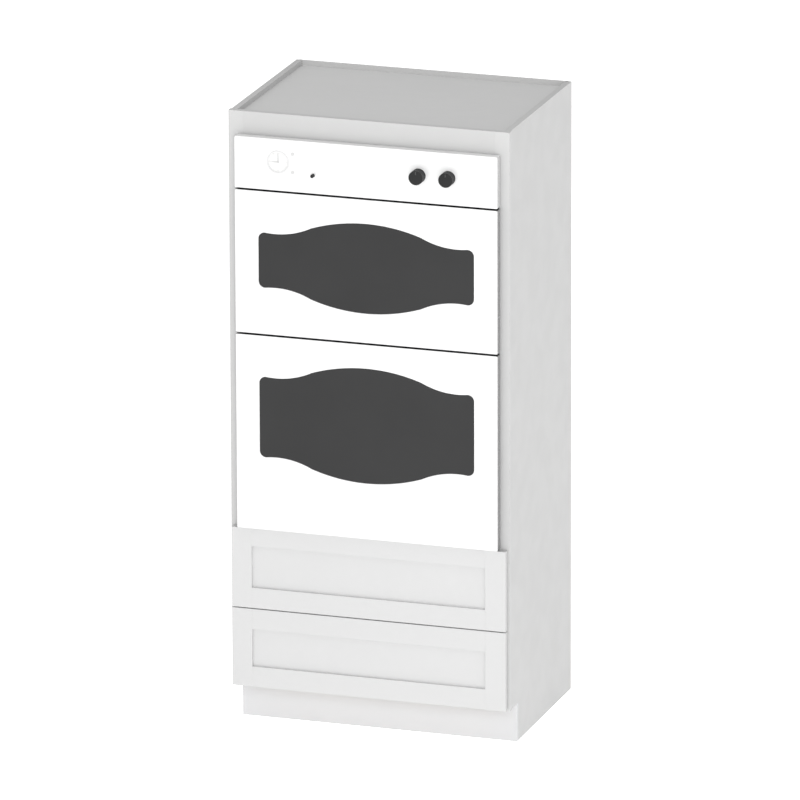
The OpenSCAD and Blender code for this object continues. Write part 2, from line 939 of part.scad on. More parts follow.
// ---------------------------------------------------------------- door hinges

// Side view of a fixed hinge arm about its pin: a round boss and a raked arm back to the plate
module arm_outline() {
    boss = pin_d / 2 + arm_boss;
    trim_face = -trim_t - pin_world_y;
    plate = -pin_world_y + eps;
    circle(r = boss);
    polygon([[-arm_nose, boss - arm_nose / 4], [trim_face, arm_root_top],
             [plate, arm_root_top], [plate, arm_root_foot], [trim_face, arm_root_foot],
             [boss - arm_nose / 4, -arm_nose]]);
}

// The pair of fixed hinge arms of the door whose foot is at z, with pins and mounting plates
module hinge_pair(z) {
    both_sides() translate([hinge_x, 0, z + pin_z]) {
        along_x(-arm_t / 2, arm_t / 2) translate([pin_world_y, 0]) arm_outline();
        bar_x(pin_world_y, 0, -arm_t / 2 - cheek_gap - cheek_t, arm_t / 2 + cheek_gap + cheek_t,
              pin_d);
        span([-plate_w / 2, 0, arm_root_foot - plate_foot],
             [plate_w / 2, plate_t, arm_root_top + plate_head]);
    }
}

module hinge_brackets() {
    color("#9a9ca0") place() {
        hinge_pair(oven_z);
        hinge_pair(upper_door_z);
    }
}

// The slots in the trim that the hinge arms pass through
module hinge_slots() {
    both_sides() for (z = [oven_z, upper_door_z])
        span([hinge_x - arm_t / 2 - slot_slack, -trim_t - over,
              z + pin_z + arm_root_foot - slot_slack],
             [hinge_x + arm_t / 2 + slot_slack, over, z + pin_z + arm_root_top + slot_slack]);
}

// ---------------------------------------------------------------- doors

// The outline of an arched window between its shoulders, middle at x = 0: crown arcs that meet
// hollow shoulder arcs at a kink, above and below
module window_outline(z, h) {
    intersection() {
        window_half(z, h);
        translate([0, 2 * z + h]) mirror([0, 1]) window_half(z, h);
    }
}

// Everything of the window below the arch at its top, with the top corners rounded
module window_half(z, h) {
    crown_half = window_w * crown_share / 2;
    shoulder_x = window_w * shoulder_share / 2;
    kink_rise = shoulder_r - sqrt(shoulder_r ^ 2 - (shoulder_x - crown_half) ^ 2);
    crown_drop = crown_rise - kink_rise;
    crown_r = (crown_half ^ 2 + crown_drop ^ 2) / (2 * crown_drop);
    top = z + h;
    foot = z - crown_rise - over;
    corner_x = window_w / 2 - window_r;
    corner_rise = shoulder_r - sqrt(shoulder_r ^ 2 - (corner_x - shoulder_x) ^ 2);
    intersection() {
        translate([-crown_half, foot]) square([2 * crown_half, top + crown_rise - foot]);
        translate([0, top + crown_rise - crown_r]) circle(r = crown_r, $fn = 180);
    }
    for (side = [-1, 1]) {
        difference() {
            translate([side > 0 ? crown_half - eps : -corner_x, foot])
                square([corner_x - crown_half + eps, top + kink_rise - foot]);
            translate([side * shoulder_x, top + shoulder_r]) circle(r = shoulder_r, $fn = 180);
        }
        translate([side > 0 ? corner_x - eps : -window_w / 2, foot])
            square([window_r + eps, top + corner_rise - window_r - foot]);
        translate([side * corner_x, top + corner_rise - window_r])
            circle(r = window_r);
    }
}

// Side view of a door between its foot and head, with the rounded foot that clears its swing
module door_profile(z, h, wall) {
    soft_rect([door_y + wall, z + wall], [door_back - wall, z + h - wall],
              [door_foot_r - wall / 2, door_heel_r - wall, 0, door_foot_r - wall]);
}

// The outer skin: a tray of sheet with the window cut out and slots for the hinge arms
module door_skin(z, h, window_z, window_h) {
    half = oven_w / 2;
    difference() {
        along_x(-half, half) door_profile(z, h, 0);
        along_x(-half + sheet_t, half - sheet_t) {
            door_profile(z, h, sheet_t);
            translate([door_y + sheet_t, z + door_heel_r])
                square([door_t, h - door_heel_r - sheet_t]);
        }
        along_y(door_y - over, door_y + sheet_t + over) window_outline(z + window_z, window_h);
        arm_slots(z);
    }
}

// The space that the fixed arms need as the door turns about them
module arm_slots(z) {
    half = arm_t / 2 + cheek_gap;
    both_sides() span([hinge_x - half, door_y + sheet_t, z - over],
                      [hinge_x + half, door_back + over, z + pin_z + arm_notch_top]);
}

// The dark window pane behind the skin
module door_window(z, window_z, window_h) {
    reach = window_w / 2 + window_lap;
    along_y(door_y + sheet_t, door_y + sheet_t + glass_t)
        round_rect([-reach, z + window_z - crown_rise - window_lap],
                   [reach, z + window_z + window_h + crown_rise + window_lap], pane_r);
}

// The pressed liner that closes the door's back, with its own window
module door_liner(z, h, window_z, window_h) {
    half = oven_w / 2 - sheet_t;
    difference() {
        along_y(door_back - door_liner_t, door_back) difference() {
            soft_rect([-half, z + door_heel_r], [half, z + h - sheet_t],
                      [0, 0, liner_corner_r, liner_corner_r]);
            liner_window(z, window_z, window_h, 0);
        }
        arm_slots(z);
    }
}

module liner_window(z, window_z, window_h, grow) {
    reach = window_w / 2 - liner_inset + grow;
    round_rect([-reach, z + window_z - crown_rise + liner_inset - grow],
               [reach, z + window_z + window_h + crown_rise - liner_inset + grow],
               liner_r + grow);
}

module door_glass(z, window_z, window_h) {
    back = door_back - door_liner_t;
    along_y(back - glass_t, back) liner_window(z, window_z, window_h, glass_lap);
}

// The hinge cheeks that a door carries: two plates on each pin, joined by a web above the arm
module door_hinges(z) {
    inside = arm_t / 2 + cheek_gap;
    front = door_y + sheet_t;
    rear = door_back - cheek_back;
    difference() {
        both_sides() translate([hinge_x, 0, z + pin_z]) {
            for (side = [-1, 1])
                span([side > 0 ? inside : -inside - cheek_t, front, -pin_z + cheek_foot],
                     [side > 0 ? inside + cheek_t : -inside, rear, cheek_top]);
            span([-inside - eps, front, cheek_top - cheek_web], [inside + eps, rear, cheek_top]);
        }
        both_sides() bar_x(pin_world_y, z + pin_z, hinge_x - inside - cheek_t - over,
                           hinge_x + inside + cheek_t + over, pin_d + 2 * running);
    }
}

module lower_door_skin() {
    color("#fbfbfa") place() door_skin(oven_z, lower_door_h, lower_window_rise, lower_window_h);
}

module lower_door_window() {
    color("#444548") place() door_window(oven_z, lower_window_rise, lower_window_h);
}

module lower_door_liner() {
    color("#565a60") place() door_liner(oven_z, lower_door_h, lower_window_rise, lower_window_h);
}

module lower_door_glass() {
    color("#2e3034") place() door_glass(oven_z, lower_window_rise, lower_window_h);
}

module lower_door_hinges() {
    color("#8e9094") place() door_hinges(oven_z);
}

module upper_door_skin() {
    color("#fbfbfa") place() door_skin(upper_door_z, upper_door_h, upper_window_rise, upper_window_h);
}

module upper_door_window() {
    color("#444548") place() door_window(upper_door_z, upper_window_rise, upper_window_h);
}

module upper_door_liner() {
    color("#565a60") place()
        door_liner(upper_door_z, upper_door_h, upper_window_rise, upper_window_h);
}

module upper_door_glass() {
    color("#2e3034") place() door_glass(upper_door_z, upper_window_rise, upper_window_h);
}

module upper_door_hinges() {
    color("#8e9094") place() door_hinges(upper_door_z);
}

// ---------------------------------------------------------------- control panel

module fascia_outline(inset) {
    half = oven_w / 2 - inset;
    soft_rect([-half, fascia_z + inset], [half, oven_top - inset],
              [0, 0, fascia_r - inset, fascia_r - inset]);
}

// The control panel: a shallow tray with the holes of the controls and the clock
module control_fascia() {
    color("#fbfbfa") place() difference() {
        along_y(door_y, -trim_t) fascia_outline(0);
        along_y(fascia_back, 0) fascia_outline(sheet_t);
        for (x = [function_knob_x, temperature_knob_x])
            bar_y(x, knob_height, door_y - over, 0, spindle_d + 2 * spindle_slack);
        bar_y(-timer_x, timer_height, door_y - over, 0, timer_d + 2 * button_slack);
        for (side = [-1, 1])
            bar_y(-clock_button_x, clock_height + side * clock_button_pitch / 2, door_y - over, 0,
                  clock_button_d + 2 * button_slack);
        bar_y(-clock_x, clock_height, door_y - over, 0, clock_d - 2 * bezel_w);
    }
}

// Rotary switches behind the panel, each with a bush that its spindle turns in
module selector_switches() {
    color("#5a5c60") place() for (x = [function_knob_x, temperature_knob_x]) difference() {
        bar_y(x, knob_height, fascia_back, fascia_back + switch_l, switch_d);
        bar_y(x, knob_height, fascia_back - over, fascia_back + switch_l - switch_floor,
              spindle_d + 2 * running);
    }
}

// A knob with a rounded rim, a pointer groove in its face and its spindle behind
module knob(x) {
    behind = knob_gap + fascia_t + spindle_reach;
    translate([x, door_y - knob_gap, knob_height]) rotate([90, 0, 0]) {
        difference() {
            rotate_extrude() {
                square([knob_d / 2 - knob_rim, knob_l]);
                square([knob_d / 2, knob_l - knob_rim]);
                translate([knob_d / 2 - knob_rim, knob_l - knob_rim]) circle(r = knob_rim);
            }
            translate([0, 0, -over]) cylinder(d = knob_d - 2 * knob_skirt, h = over + knob_hollow);
            translate([0, 0, -over])
                cylinder(d = spindle_d + 2 * running, h = over + spindle_grip + spindle_end_gap);
            translate([-pointer_w / 2, knob_d / 4, knob_l - pointer_d])
                cube([pointer_w, knob_d / 4 - knob_rim, over]);
        }
        translate([0, 0, -behind]) cylinder(d = spindle_d, h = behind + spindle_grip);
    }
}

module function_knob() {
    color("#3e3f42") place() knob(function_knob_x);
}

module temperature_knob() {
    color("#3e3f42") place() knob(temperature_knob_x);
}

// A push button with a retaining collar and a stem towards its switch
module push_button(x, z, d, proud) {
    collar_y = fascia_back + flange_gap;
    translate([x, 0, z]) {
        bar_y(0, 0, door_y - proud, collar_y, d);
        bar_y(0, 0, collar_y, collar_y + retainer_t, d + 2 * retainer_lip);
        bar_y(0, 0, collar_y + retainer_t, collar_y + retainer_t + button_stem, d / 2);
    }
}

module timer_button() {
    color("#3e3f42") place() push_button(-timer_x, timer_height, timer_d, timer_l);
}

module clock_button_upper() {
    color("#ececea") place() push_button(-clock_button_x, clock_height + clock_button_pitch / 2,
                                        clock_button_d, clock_button_l);
}

module clock_button_lower() {
    color("#ececea") place() push_button(-clock_button_x, clock_height - clock_button_pitch / 2,
                                        clock_button_d, clock_button_l);
}

// A switch block between a button's stem, past its travel, and the circuit board
module button_switch(x, z, travel) {
    stem_end = fascia_back + flange_gap + retainer_t + button_stem;
    half = button_switch_w / 2;
    span([x - half, stem_end + travel + flange_gap, z - half], [x + half, board_y, z + half]);
}

// The circuit board on its posts, with the button switches and the clock movement
module control_board() {
    x0 = -clock_x - clock_d / 2 - 2 * board_margin;
    x1 = -timer_x + 4 * board_margin;
    z0 = timer_height - timer_d / 2 - 2 * board_margin;
    z1 = clock_height + clock_d / 2 + board_margin;
    color("#2f5b3c") place() {
        span([x0, board_y, z0], [x1, board_y + board_t, z1]);
        for (x = [x0 + board_margin, x1 - board_margin], z = [z0 + board_margin, z1 - board_margin])
            bar_y(x, z, fascia_back, board_y, board_post_d);
        button_switch(-timer_x, timer_height, timer_travel);
        for (z = [clock_height - clock_button_pitch / 2, clock_height + clock_button_pitch / 2])
            button_switch(-clock_button_x, z, clock_button_travel);
        span([-clock_x - movement_w / 2, dial_y + dial_t, clock_height - movement_w / 2],
             [-clock_x + movement_w / 2, board_y, clock_height + movement_w / 2]);
    }
}

// ---------------------------------------------------------------- clock

// The dial with its bezel ring and the arbor that the hands turn on, as one turned shape
module clock_dial() {
    bezel_r = clock_d / 2;
    barrel_r = bezel_r - bezel_w;
    bore_r = barrel_r - barrel_t;
    color("#f4f4f2") place() translate([-clock_x, 0, clock_height]) rotate([90, 0, 0])
        rotate_extrude() {
            translate([bore_r, -door_y]) square([bezel_r - bore_r, bezel_proud]);
            translate([bore_r, -dial_y - dial_t])
                square([barrel_r - bore_r, dial_y + dial_t - door_y + eps]);
            translate([0, -dial_y - dial_t]) square([barrel_r, dial_t]);
            translate([0, -dial_y - eps]) square([arbor_d / 2, arbor_l]);
        }
}

module clock_lens() {
    lens_y = door_y - bezel_proud + lens_set;
    color("#dfe6ea") place()
        bar_y(-clock_x, clock_height, lens_y, lens_y + lens_t,
              clock_d - 2 * (bezel_w + barrel_t + running));
}

// A tapered hand with a round hub, pointing along +Z before it is turned
module clock_hand(hand_l, widths, hub_d, y, angle) {
    root = widths[0] / 2;
    tip = widths[1] / 2;
    translate([-clock_x, 0, clock_height]) rotate([0, angle, 0])
        along_y(y, y + hand_t) difference() {
            union() {
                circle(d = hub_d);
                polygon([[-root, 0], [root, 0], [tip, hand_l], [-tip, hand_l]]);
            }
            circle(d = arbor_d + 2 * running);
        }
}

module hour_hand() {
    color("#b8b8b6") place()
        clock_hand(hour_hand_l, hour_hand_w, hour_hub_d, dial_y - hand_gap - hand_t, -90);
}

module minute_hand() {
    color("#b8b8b6") place()
        clock_hand(minute_hand_l, minute_hand_w, minute_hub_d, dial_y - 2 * (hand_gap + hand_t), 0);
}

// ---------------------------------------------------------------- assembly

left_side_panel();
right_side_panel();
top_panel();
floor_panel();
back_panel();
frame_stiles();
frame_rails();
toe_board();
oven_platform();
inner_cleats();
back_nailers();
lower_drawer_stiles();
lower_drawer_rails();
lower_drawer_panel();
lower_drawer_sides();
lower_drawer_ends();
lower_drawer_bottom();
lower_slide_inner();
lower_slide_middle();
upper_drawer_stiles();
upper_drawer_rails();
upper_drawer_panel();
upper_drawer_sides();
upper_drawer_ends();
upper_drawer_bottom();
upper_slide_inner();
upper_slide_middle();
slide_outer();
oven_case();
front_trim();
fixing_screws();
lower_cavity();
upper_cavity();
oven_racks();
heating_elements();
oven_lamps();
door_gaskets();
hinge_brackets();
lower_door_skin();
lower_door_window();
lower_door_liner();
lower_door_glass();
lower_door_hinges();
upper_door_skin();
upper_door_window();
upper_door_liner();
upper_door_glass();
upper_door_hinges();
control_fascia();
control_board();
selector_switches();
function_knob();
temperature_knob();
timer_button();
clock_button_upper();
clock_button_lower();
clock_dial();
clock_lens();
hour_hand();
minute_hand();
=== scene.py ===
"""Looks of the tall oven housing unit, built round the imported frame.

Every length is in metres in the frame's own axes: +X across the unit, +Y from front to back, +Z up.
"""

import json
import logging
import math
from dataclasses import dataclass
from enum import Enum

import bmesh
import bpy
import numpy as np
from mathutils import Matrix, Vector, geometry

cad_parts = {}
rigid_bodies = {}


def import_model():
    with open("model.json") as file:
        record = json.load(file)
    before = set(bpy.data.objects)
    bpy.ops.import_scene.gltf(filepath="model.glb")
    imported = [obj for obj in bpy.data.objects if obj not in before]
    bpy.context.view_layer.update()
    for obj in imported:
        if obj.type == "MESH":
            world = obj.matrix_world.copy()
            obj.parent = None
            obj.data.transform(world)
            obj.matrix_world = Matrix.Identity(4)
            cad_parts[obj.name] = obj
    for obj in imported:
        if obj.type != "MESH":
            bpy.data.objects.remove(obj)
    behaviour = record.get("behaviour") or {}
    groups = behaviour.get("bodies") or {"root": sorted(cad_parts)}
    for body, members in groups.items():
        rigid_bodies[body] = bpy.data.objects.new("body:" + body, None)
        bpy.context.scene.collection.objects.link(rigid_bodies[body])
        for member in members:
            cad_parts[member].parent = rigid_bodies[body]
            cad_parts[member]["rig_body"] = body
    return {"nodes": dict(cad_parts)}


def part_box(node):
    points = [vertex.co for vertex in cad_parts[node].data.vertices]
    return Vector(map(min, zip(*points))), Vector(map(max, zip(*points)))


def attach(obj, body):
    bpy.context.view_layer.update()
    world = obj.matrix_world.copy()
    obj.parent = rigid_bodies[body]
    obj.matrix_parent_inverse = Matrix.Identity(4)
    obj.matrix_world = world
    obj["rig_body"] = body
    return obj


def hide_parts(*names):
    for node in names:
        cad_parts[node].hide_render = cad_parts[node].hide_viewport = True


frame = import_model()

logging.basicConfig(level=logging.INFO, format="%(message)s")
LOG = logging.getLogger("oven_unit")

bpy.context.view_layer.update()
MM = 0.001
MICRON = 0.000001  # places that are nearer than this count as one
SHARP_BEND = math.radians(42)  # faces that meet at more than this show an edge
Array = np.ndarray
Triple = tuple[float, float, float]


# ---------------------------------------------------------------- shader arithmetic


class Signal:
    """One shader output that takes part in Python arithmetic."""

    def __init__(self, net: "Net", socket: bpy.types.NodeSocket) -> None:
        """Wraps an output socket of a net."""
        self.net = net
        self.socket = socket

    def _math(self, operation: str, *terms: "Signal | float") -> "Signal":
        """The output of a new Math node that does one operation on its terms."""
        node = self.net.add("ShaderNodeMath", {"operation": operation}, dict(enumerate(terms)))
        return Signal(self.net, node.outputs[0])

    def __add__(self, other: "Signal | float") -> "Signal":
        """The sum of this and another value."""
        return self._math("ADD", self, other)

    def __radd__(self, other: float) -> "Signal":
        """The sum of a number and this."""
        return self._math("ADD", other, self)

    def __sub__(self, other: "Signal | float") -> "Signal":
        """This less another value."""
        return self._math("SUBTRACT", self, other)

    def __rsub__(self, other: float) -> "Signal":
        """A number less this."""
        return self._math("SUBTRACT", other, self)

    def __mul__(self, other: "Signal | float") -> "Signal":
        """The product of this and another value."""
        return self._math("MULTIPLY", self, other)

    def __rmul__(self, other: float) -> "Signal":
        """The product of a number and this."""
        return self._math("MULTIPLY", other, self)

    def __pow__(self, power: float) -> "Signal":
        """This raised to a power."""
        return self._math("POWER", self, power)

    def sine(self) -> "Signal":
        """The sine of this."""
        return self._math("SINE", self)

    def ramp(self, low: float, high: float, start: float = 0.0, end: float = 1.0) -> "Signal":
        """A smooth step.

        Args:
            low: The value at which the step starts.
            high: The value at which it ends.
            start: The result at and below low.
            end: The result at and above high.

        Returns:
            The stepped value.
        """
        node = self.net.add("ShaderNodeMapRange", {"interpolation_type": "SMOOTHSTEP"},
                            {0: self, 1: low, 2: high, 3: start, 4: end})
        return Signal(self.net, node.outputs[0])


class Net:
    """The node tree of one material."""

    def __init__(self, name: str) -> None:
        """Makes a material with an empty tree.

        Args:
            name: The material's name.
        """
        self.material = bpy.data.materials.new(name)
        self.material.use_nodes = True
        self.tree = self.material.node_tree
        self.tree.nodes.clear()
        self.place = Signal(self, self.add("ShaderNodeTexCoord").outputs["Object"])

    def add(self, kind: str, settings: dict | None = None,
            values: dict | None = None) -> bpy.types.Node:
        """Adds a node.

        Args:
            kind: The node's type.
            settings: Its own settings.
            values: Values or links of its input sockets, by name or number.

        Returns:
            The node.
        """
        node = self.tree.nodes.new(kind)
        for key, value in (settings or {}).items():
            setattr(node, key, value)
        for key, value in (values or {}).items():
            if isinstance(value, Signal):
                self.tree.links.new(value.socket, node.inputs[key])
            else:
                node.inputs[key].default_value = value
        return node

    def stretched(self, scale: Triple, turn: Triple = (0, 0, 0)) -> Signal:
        """Object coordinates turned and scaled along each axis.

        Args:
            scale: Factor along each axis.
            turn: Rotation about each axis.

        Returns:
            The coordinates.
        """
        node = self.add("ShaderNodeMapping", {"vector_type": "POINT"},
                        {"Vector": self.place, "Scale": scale, "Rotation": turn})
        return Signal(self, node.outputs[0])

    def noise(self, scale: float, detail: float = 2.0, place: Signal | None = None,
              distortion: float = 0.0) -> Signal:
        """Fractal noise.

        Args:
            scale: Features per metre.
            detail: Octaves of finer noise.
            place: Coordinates, or None for the object's own.
            distortion: How much the noise folds on itself.

        Returns:
            The noise, about 0.5.
        """
        node = self.add("ShaderNodeTexNoise", {"noise_dimensions": "3D"},
                        {"Vector": place or self.place, "Scale": scale, "Detail": detail,
                         "Distortion": distortion})
        return Signal(self, node.outputs["Fac"])

    def cells(self, scale: float) -> tuple[Signal, Signal]:
        """Voronoi cells.

        Args:
            scale: Cells per metre.

        Returns:
            The distance to the cell's middle, and the cell's random colour.
        """
        node = self.add("ShaderNodeTexVoronoi", {"feature": "F1"},
                        {"Vector": self.place, "Scale": scale})
        return Signal(self, node.outputs["Distance"]), Signal(self, node.outputs["Color"])

    def attribute(self, name: str) -> Signal:
        """A number stored on the mesh, or 0 where it has none."""
        node = self.add("ShaderNodeAttribute", {"attribute_name": name})
        return Signal(self, node.outputs["Fac"])

    def blend(self, factor: Signal | float, first: Signal | Triple,
              second: Signal | Triple) -> Signal:
        """A colour between two colours.

        Args:
            factor: How far it is from the first to the second.
            first: The colour at 0.
            second: The colour at 1.

        Returns:
            The mixed colour.
        """
        node = self.add("ShaderNodeMix", {"data_type": "RGBA"},
                        {0: factor, 6: _colour(first), 7: _colour(second)})
        return Signal(self, node.outputs[2])

    def bump(self, height: Signal, distance: float, strength: float,
             under: Signal | None = None) -> Signal:
        """A bumped normal.

        Args:
            height: The height, from 0 to 1.
            distance: The depth of a height of 1.
            strength: How much of the bump shows. Below 0 it turns bumps into pits.
            under: Another bump that this one lies on.

        Returns:
            The normal.
        """
        values = {"Height": height, "Distance": distance, "Strength": strength}
        if under is not None:
            values["Normal"] = under
        return Signal(self, self.add("ShaderNodeBump", None, values).outputs[0])

    def surface(self, **values: Signal | float | Triple) -> bpy.types.Material:
        """Ends the tree with a Principled surface.

        Args:
            values: Socket values, with spaces written as underscores.

        Returns:
            The finished material.
        """
        inputs = {key.replace("_", " "): _colour(value) if key.endswith("Color") else value
                  for key, value in values.items()}
        shader = self.add("ShaderNodeBsdfPrincipled", None, inputs)
        self.add("ShaderNodeOutputMaterial", None, {0: Signal(self, shader.outputs[0])})
        return self.material


def _colour(value: Signal | Triple) -> Signal | tuple[float, ...]:
    """A colour with its alpha, or a link as it is."""
    return value if isinstance(value, Signal) else (*value[:3], 1.0)


def shade(colour: Triple, factor: float) -> Triple:
    """A colour made darker or lighter by a factor."""
    return tuple(min(1.0, part * factor) for part in colour)


# ---------------------------------------------------------------- finishes


@dataclass(frozen=True)
class Finish:
    """A finish that makes its material once."""

    name: str
    colour: Triple

    def material(self) -> bpy.types.Material:
        """The finish's material, made the first time it is asked for."""
        look = f"{self.name}_look"
        return bpy.data.materials.get(look) or self.build(Net(look))

    def build(self, net: Net) -> bpy.types.Material:
        """Makes the material in an empty net."""
        return net.surface(Base_Color=self.colour)


@dataclass(frozen=True)
class Paint(Finish):
    """Sprayed satin paint on wood, a little uneven and rubbed thin on its edges."""

    roughness: float = 0.42
    wear: float = 0.35
    deepest: float = 0.988
    palest: float = 1.006
    peel_depth: float = 0.05 * MM
    sag_depth: float = 0.4 * MM

    def build(self, net: Net) -> bpy.types.Material:
        """Broad tone drift, fine orange peel, and edges rubbed where noise lets them be.

        Args:
            net: The empty net.

        Returns:
            The material.
        """
        drift = net.noise(2.3, detail=3.0)
        mottle = net.noise(38.0)
        tone = (drift * 0.7 + mottle * 0.3).ramp(0.3, 0.7)
        base = net.blend(tone, shade(self.colour, self.deepest), shade(self.colour, self.palest))
        thin = net.noise(60.0, detail=4.0).ramp(0.5, 0.68)
        rubbed = net.attribute("edge") * thin * self.wear
        base = net.blend(rubbed, base, shade(self.colour, 0.72))
        peel = net.bump(net.noise(520.0), self.peel_depth, strength=0.5)
        normal = net.bump(net.noise(9.0), self.sag_depth, strength=0.07, under=peel)
        rough = net.noise(14.0, detail=3.0).ramp(0.3, 0.7, start=self.roughness - 0.04,
                                                 end=self.roughness + 0.05)
        return net.surface(Base_Color=base, Roughness=rough + rubbed * 0.2, Normal=normal)


@dataclass(frozen=True)
class Enamel(Finish):
    """Gloss enamel fired on sheet steel, gently wavy, with optional pale speckles and optional
    painted shade on its walls.
    """

    roughness: float = 0.2
    speckle: float = 0.0
    # Colour of painted shade laid on turned-back walls: the dark of the gaps and of sides that get
    # less light.
    wall: Triple | None = None
    speckle_colour: Triple = (0.55, 0.58, 0.62)
    wave_depth: float = 0.25 * MM
    pit_depth: float = 0.02 * MM

    def build(self, net: Net) -> bpy.types.Material:
        """Wavy sheet under a clear coat, faint wiped smears, painted shade on the walls, and
        speckles from small cells.

        Args:
            net: The empty net.

        Returns:
            The material.
        """
        drift = net.noise(3.1).ramp(0.35, 0.65)
        base = net.blend(drift, shade(self.colour, 0.985), self.colour)
        # Painted shade: walls go to the wall colour as far as the mesh's "wall" values say.
        if self.wall:
            base = net.blend(net.attribute("wall"), base, self.wall)
        if self.speckle:
            distance, _ = net.cells(420.0)
            dots = distance.ramp(0.2, 0.1) * net.noise(150.0, detail=1.0).ramp(0.5, 0.62)
            base = net.blend(dots * self.speckle, base, self.speckle_colour)
        edge = net.attribute("edge") * net.noise(45.0, detail=3.0).ramp(0.6, 0.75)
        base = net.blend(edge * 0.2, base, shade(self.colour, 0.6))
        wiped = net.stretched((1.0, 1.0, 3.5))
        smears = net.noise(7.0, detail=4.0, place=wiped, distortion=0.6).ramp(0.45, 0.7)
        wave = net.bump(net.noise(11.0, detail=1.0), self.wave_depth, strength=0.25)
        normal = net.bump(net.noise(900.0, detail=1.0), self.pit_depth, strength=0.35,
                          under=wave)
        return net.surface(Base_Color=base, Roughness=smears * 0.06 + self.roughness,
                           Normal=normal, Coat_Weight=0.5, Coat_Roughness=0.06)


@dataclass(frozen=True)
class SmokedGlass(Finish):
    """Dark glass, seen as a gloss face with wiped smears."""

    roughness: float = 0.1
    alpha: float = 1.0
    index: float = 1.37
    wave_depth: float = 0.3 * MM

    def build(self, net: Net) -> bpy.types.Material:
        """Nearly even dark tone, with smears that only the gloss shows.

        Args:
            net: The empty net.

        Returns:
            The material.
        """
        tone = net.noise(4.0).ramp(0.3, 0.7)
        base = net.blend(tone, shade(self.colour, 0.92), shade(self.colour, 1.05))
        wiped = net.stretched((1.0, 1.0, 2.4))
        smears = net.noise(12.0, detail=5.0, place=wiped, distortion=0.8).ramp(0.42, 0.72)
        normal = net.bump(net.noise(5.0, detail=1.0), self.wave_depth, strength=0.1)
        return net.surface(Base_Color=base, Roughness=smears * 0.07 + self.roughness,
                           Normal=normal, Alpha=self.alpha, IOR=self.index)


@dataclass(frozen=True)
class ClearGlass(Finish):
    """Thin clear glass or a clear cover, mostly seen through."""

    alpha: float = 0.18
    roughness: float = 0.05
    index: float = 1.5

    def build(self, net: Net) -> bpy.types.Material:
        """A gloss face with little body.

        Args:
            net: The empty net.

        Returns:
            The material.
        """
        smears = net.noise(60.0, detail=3.0).ramp(0.4, 0.7)
        return net.surface(Base_Color=self.colour, Roughness=smears * 0.05 + self.roughness,
                           Alpha=self.alpha, IOR=self.index)


class Axis(Enum):
    """The axis that the grain of a board runs along."""

    X = 0
    Y = 1
    Z = 2


@dataclass(frozen=True)
class Grain(Finish):
    """Bare or lacquered wood with its grain along one axis."""

    dark: Triple
    along: Axis
    roughness: float
    pore_depth: float = 0.1 * MM

    def _squeezed(self, net: Net, along: float, across: float) -> Signal:
        """Object coordinates in features per metre, along the grain and across it."""
        return net.stretched(tuple(along if axis is self.along else across for axis in Axis))

    def build(self, net: Net) -> bpy.types.Material:
        """Rings from noise squeezed across the grain, streaks of pores and a light bump.

        The rings are ((1 + sin(46 n)) / 2) to the power 1.6, with n the squeezed noise.

        Args:
            net: The empty net.

        Returns:
            The material.
        """
        growth = net.noise(1.0, detail=3.0, place=self._squeezed(net, 0.55, 9.0), distortion=0.4)
        rings = ((growth * 46.0).sine() * 0.5 + 0.5) ** 1.6
        pores = net.noise(1.0, place=self._squeezed(net, 6.0, 260.0)).ramp(0.58, 0.72)
        base = net.blend(rings * 0.55, self.colour, self.dark)
        base = net.blend(pores * 0.35, base, shade(self.dark, 0.7))
        base = net.blend(net.noise(3.0).ramp(0.3, 0.7) * 0.2, base, shade(self.colour, 1.1))
        normal = net.bump(pores, self.pore_depth, strength=-0.4)
        return net.surface(Base_Color=base, Roughness=rings * 0.08 + self.roughness,
                           Normal=normal)


@dataclass(frozen=True)
class Metal(Finish):
    """Bare or plated metal with brushed lines or spangles."""

    roughness: float
    spangle: float = 0.0
    brushed: Triple = (300.0, 300.0, 300.0)
    line_depth: float = 0.03 * MM

    def build(self, net: Net) -> bpy.types.Material:
        """Tone and gloss vary by crystal cell, by brushed line and by broad drift.

        Args:
            net: The empty net.

        Returns:
            The material.
        """
        drift = net.noise(13.0, detail=3.0).ramp(0.3, 0.7)
        base = net.blend(drift, shade(self.colour, 0.9), self.colour)
        rough = net.noise(30.0, detail=3.0).ramp(0.3, 0.7, start=self.roughness - 0.05,
                                                 end=self.roughness + 0.08)
        if self.spangle:
            _, crystal = net.cells(70.0)
            grey = Signal(net, net.add("ShaderNodeRGBToBW", None, {0: crystal}).outputs[0])
            base = net.blend(grey * self.spangle, base, shade(self.colour, 0.62))
            rough = rough + grey * 0.12
        lines = net.noise(1.0, place=net.stretched(self.brushed))
        normal = net.bump(lines, self.line_depth, strength=0.5)
        worn = net.attribute("edge") * 0.3
        base = net.blend(worn, base, shade(self.colour, 1.2))
        return net.surface(Base_Color=base, Roughness=rough, Metallic=1.0, Normal=normal)


@dataclass(frozen=True)
class HeatedSheath(Finish):
    """A heating tube's sheath, darkened by heat in uneven bands."""

    burnt: Triple = (0.10, 0.075, 0.06)
    scale_depth: float = 0.06 * MM

    def build(self, net: Net) -> bpy.types.Material:
        """Grey to brown scale with a dull bloom.

        Args:
            net: The empty net.

        Returns:
            The material.
        """
        heat = net.noise(22.0, detail=4.0, distortion=0.5).ramp(0.35, 0.65)
        base = net.blend(heat, self.colour, self.burnt)
        normal = net.bump(net.noise(500.0), self.scale_depth, strength=0.6)
        return net.surface(Base_Color=base, Roughness=heat * 0.2 + 0.42, Metallic=0.6,
                           Normal=normal)


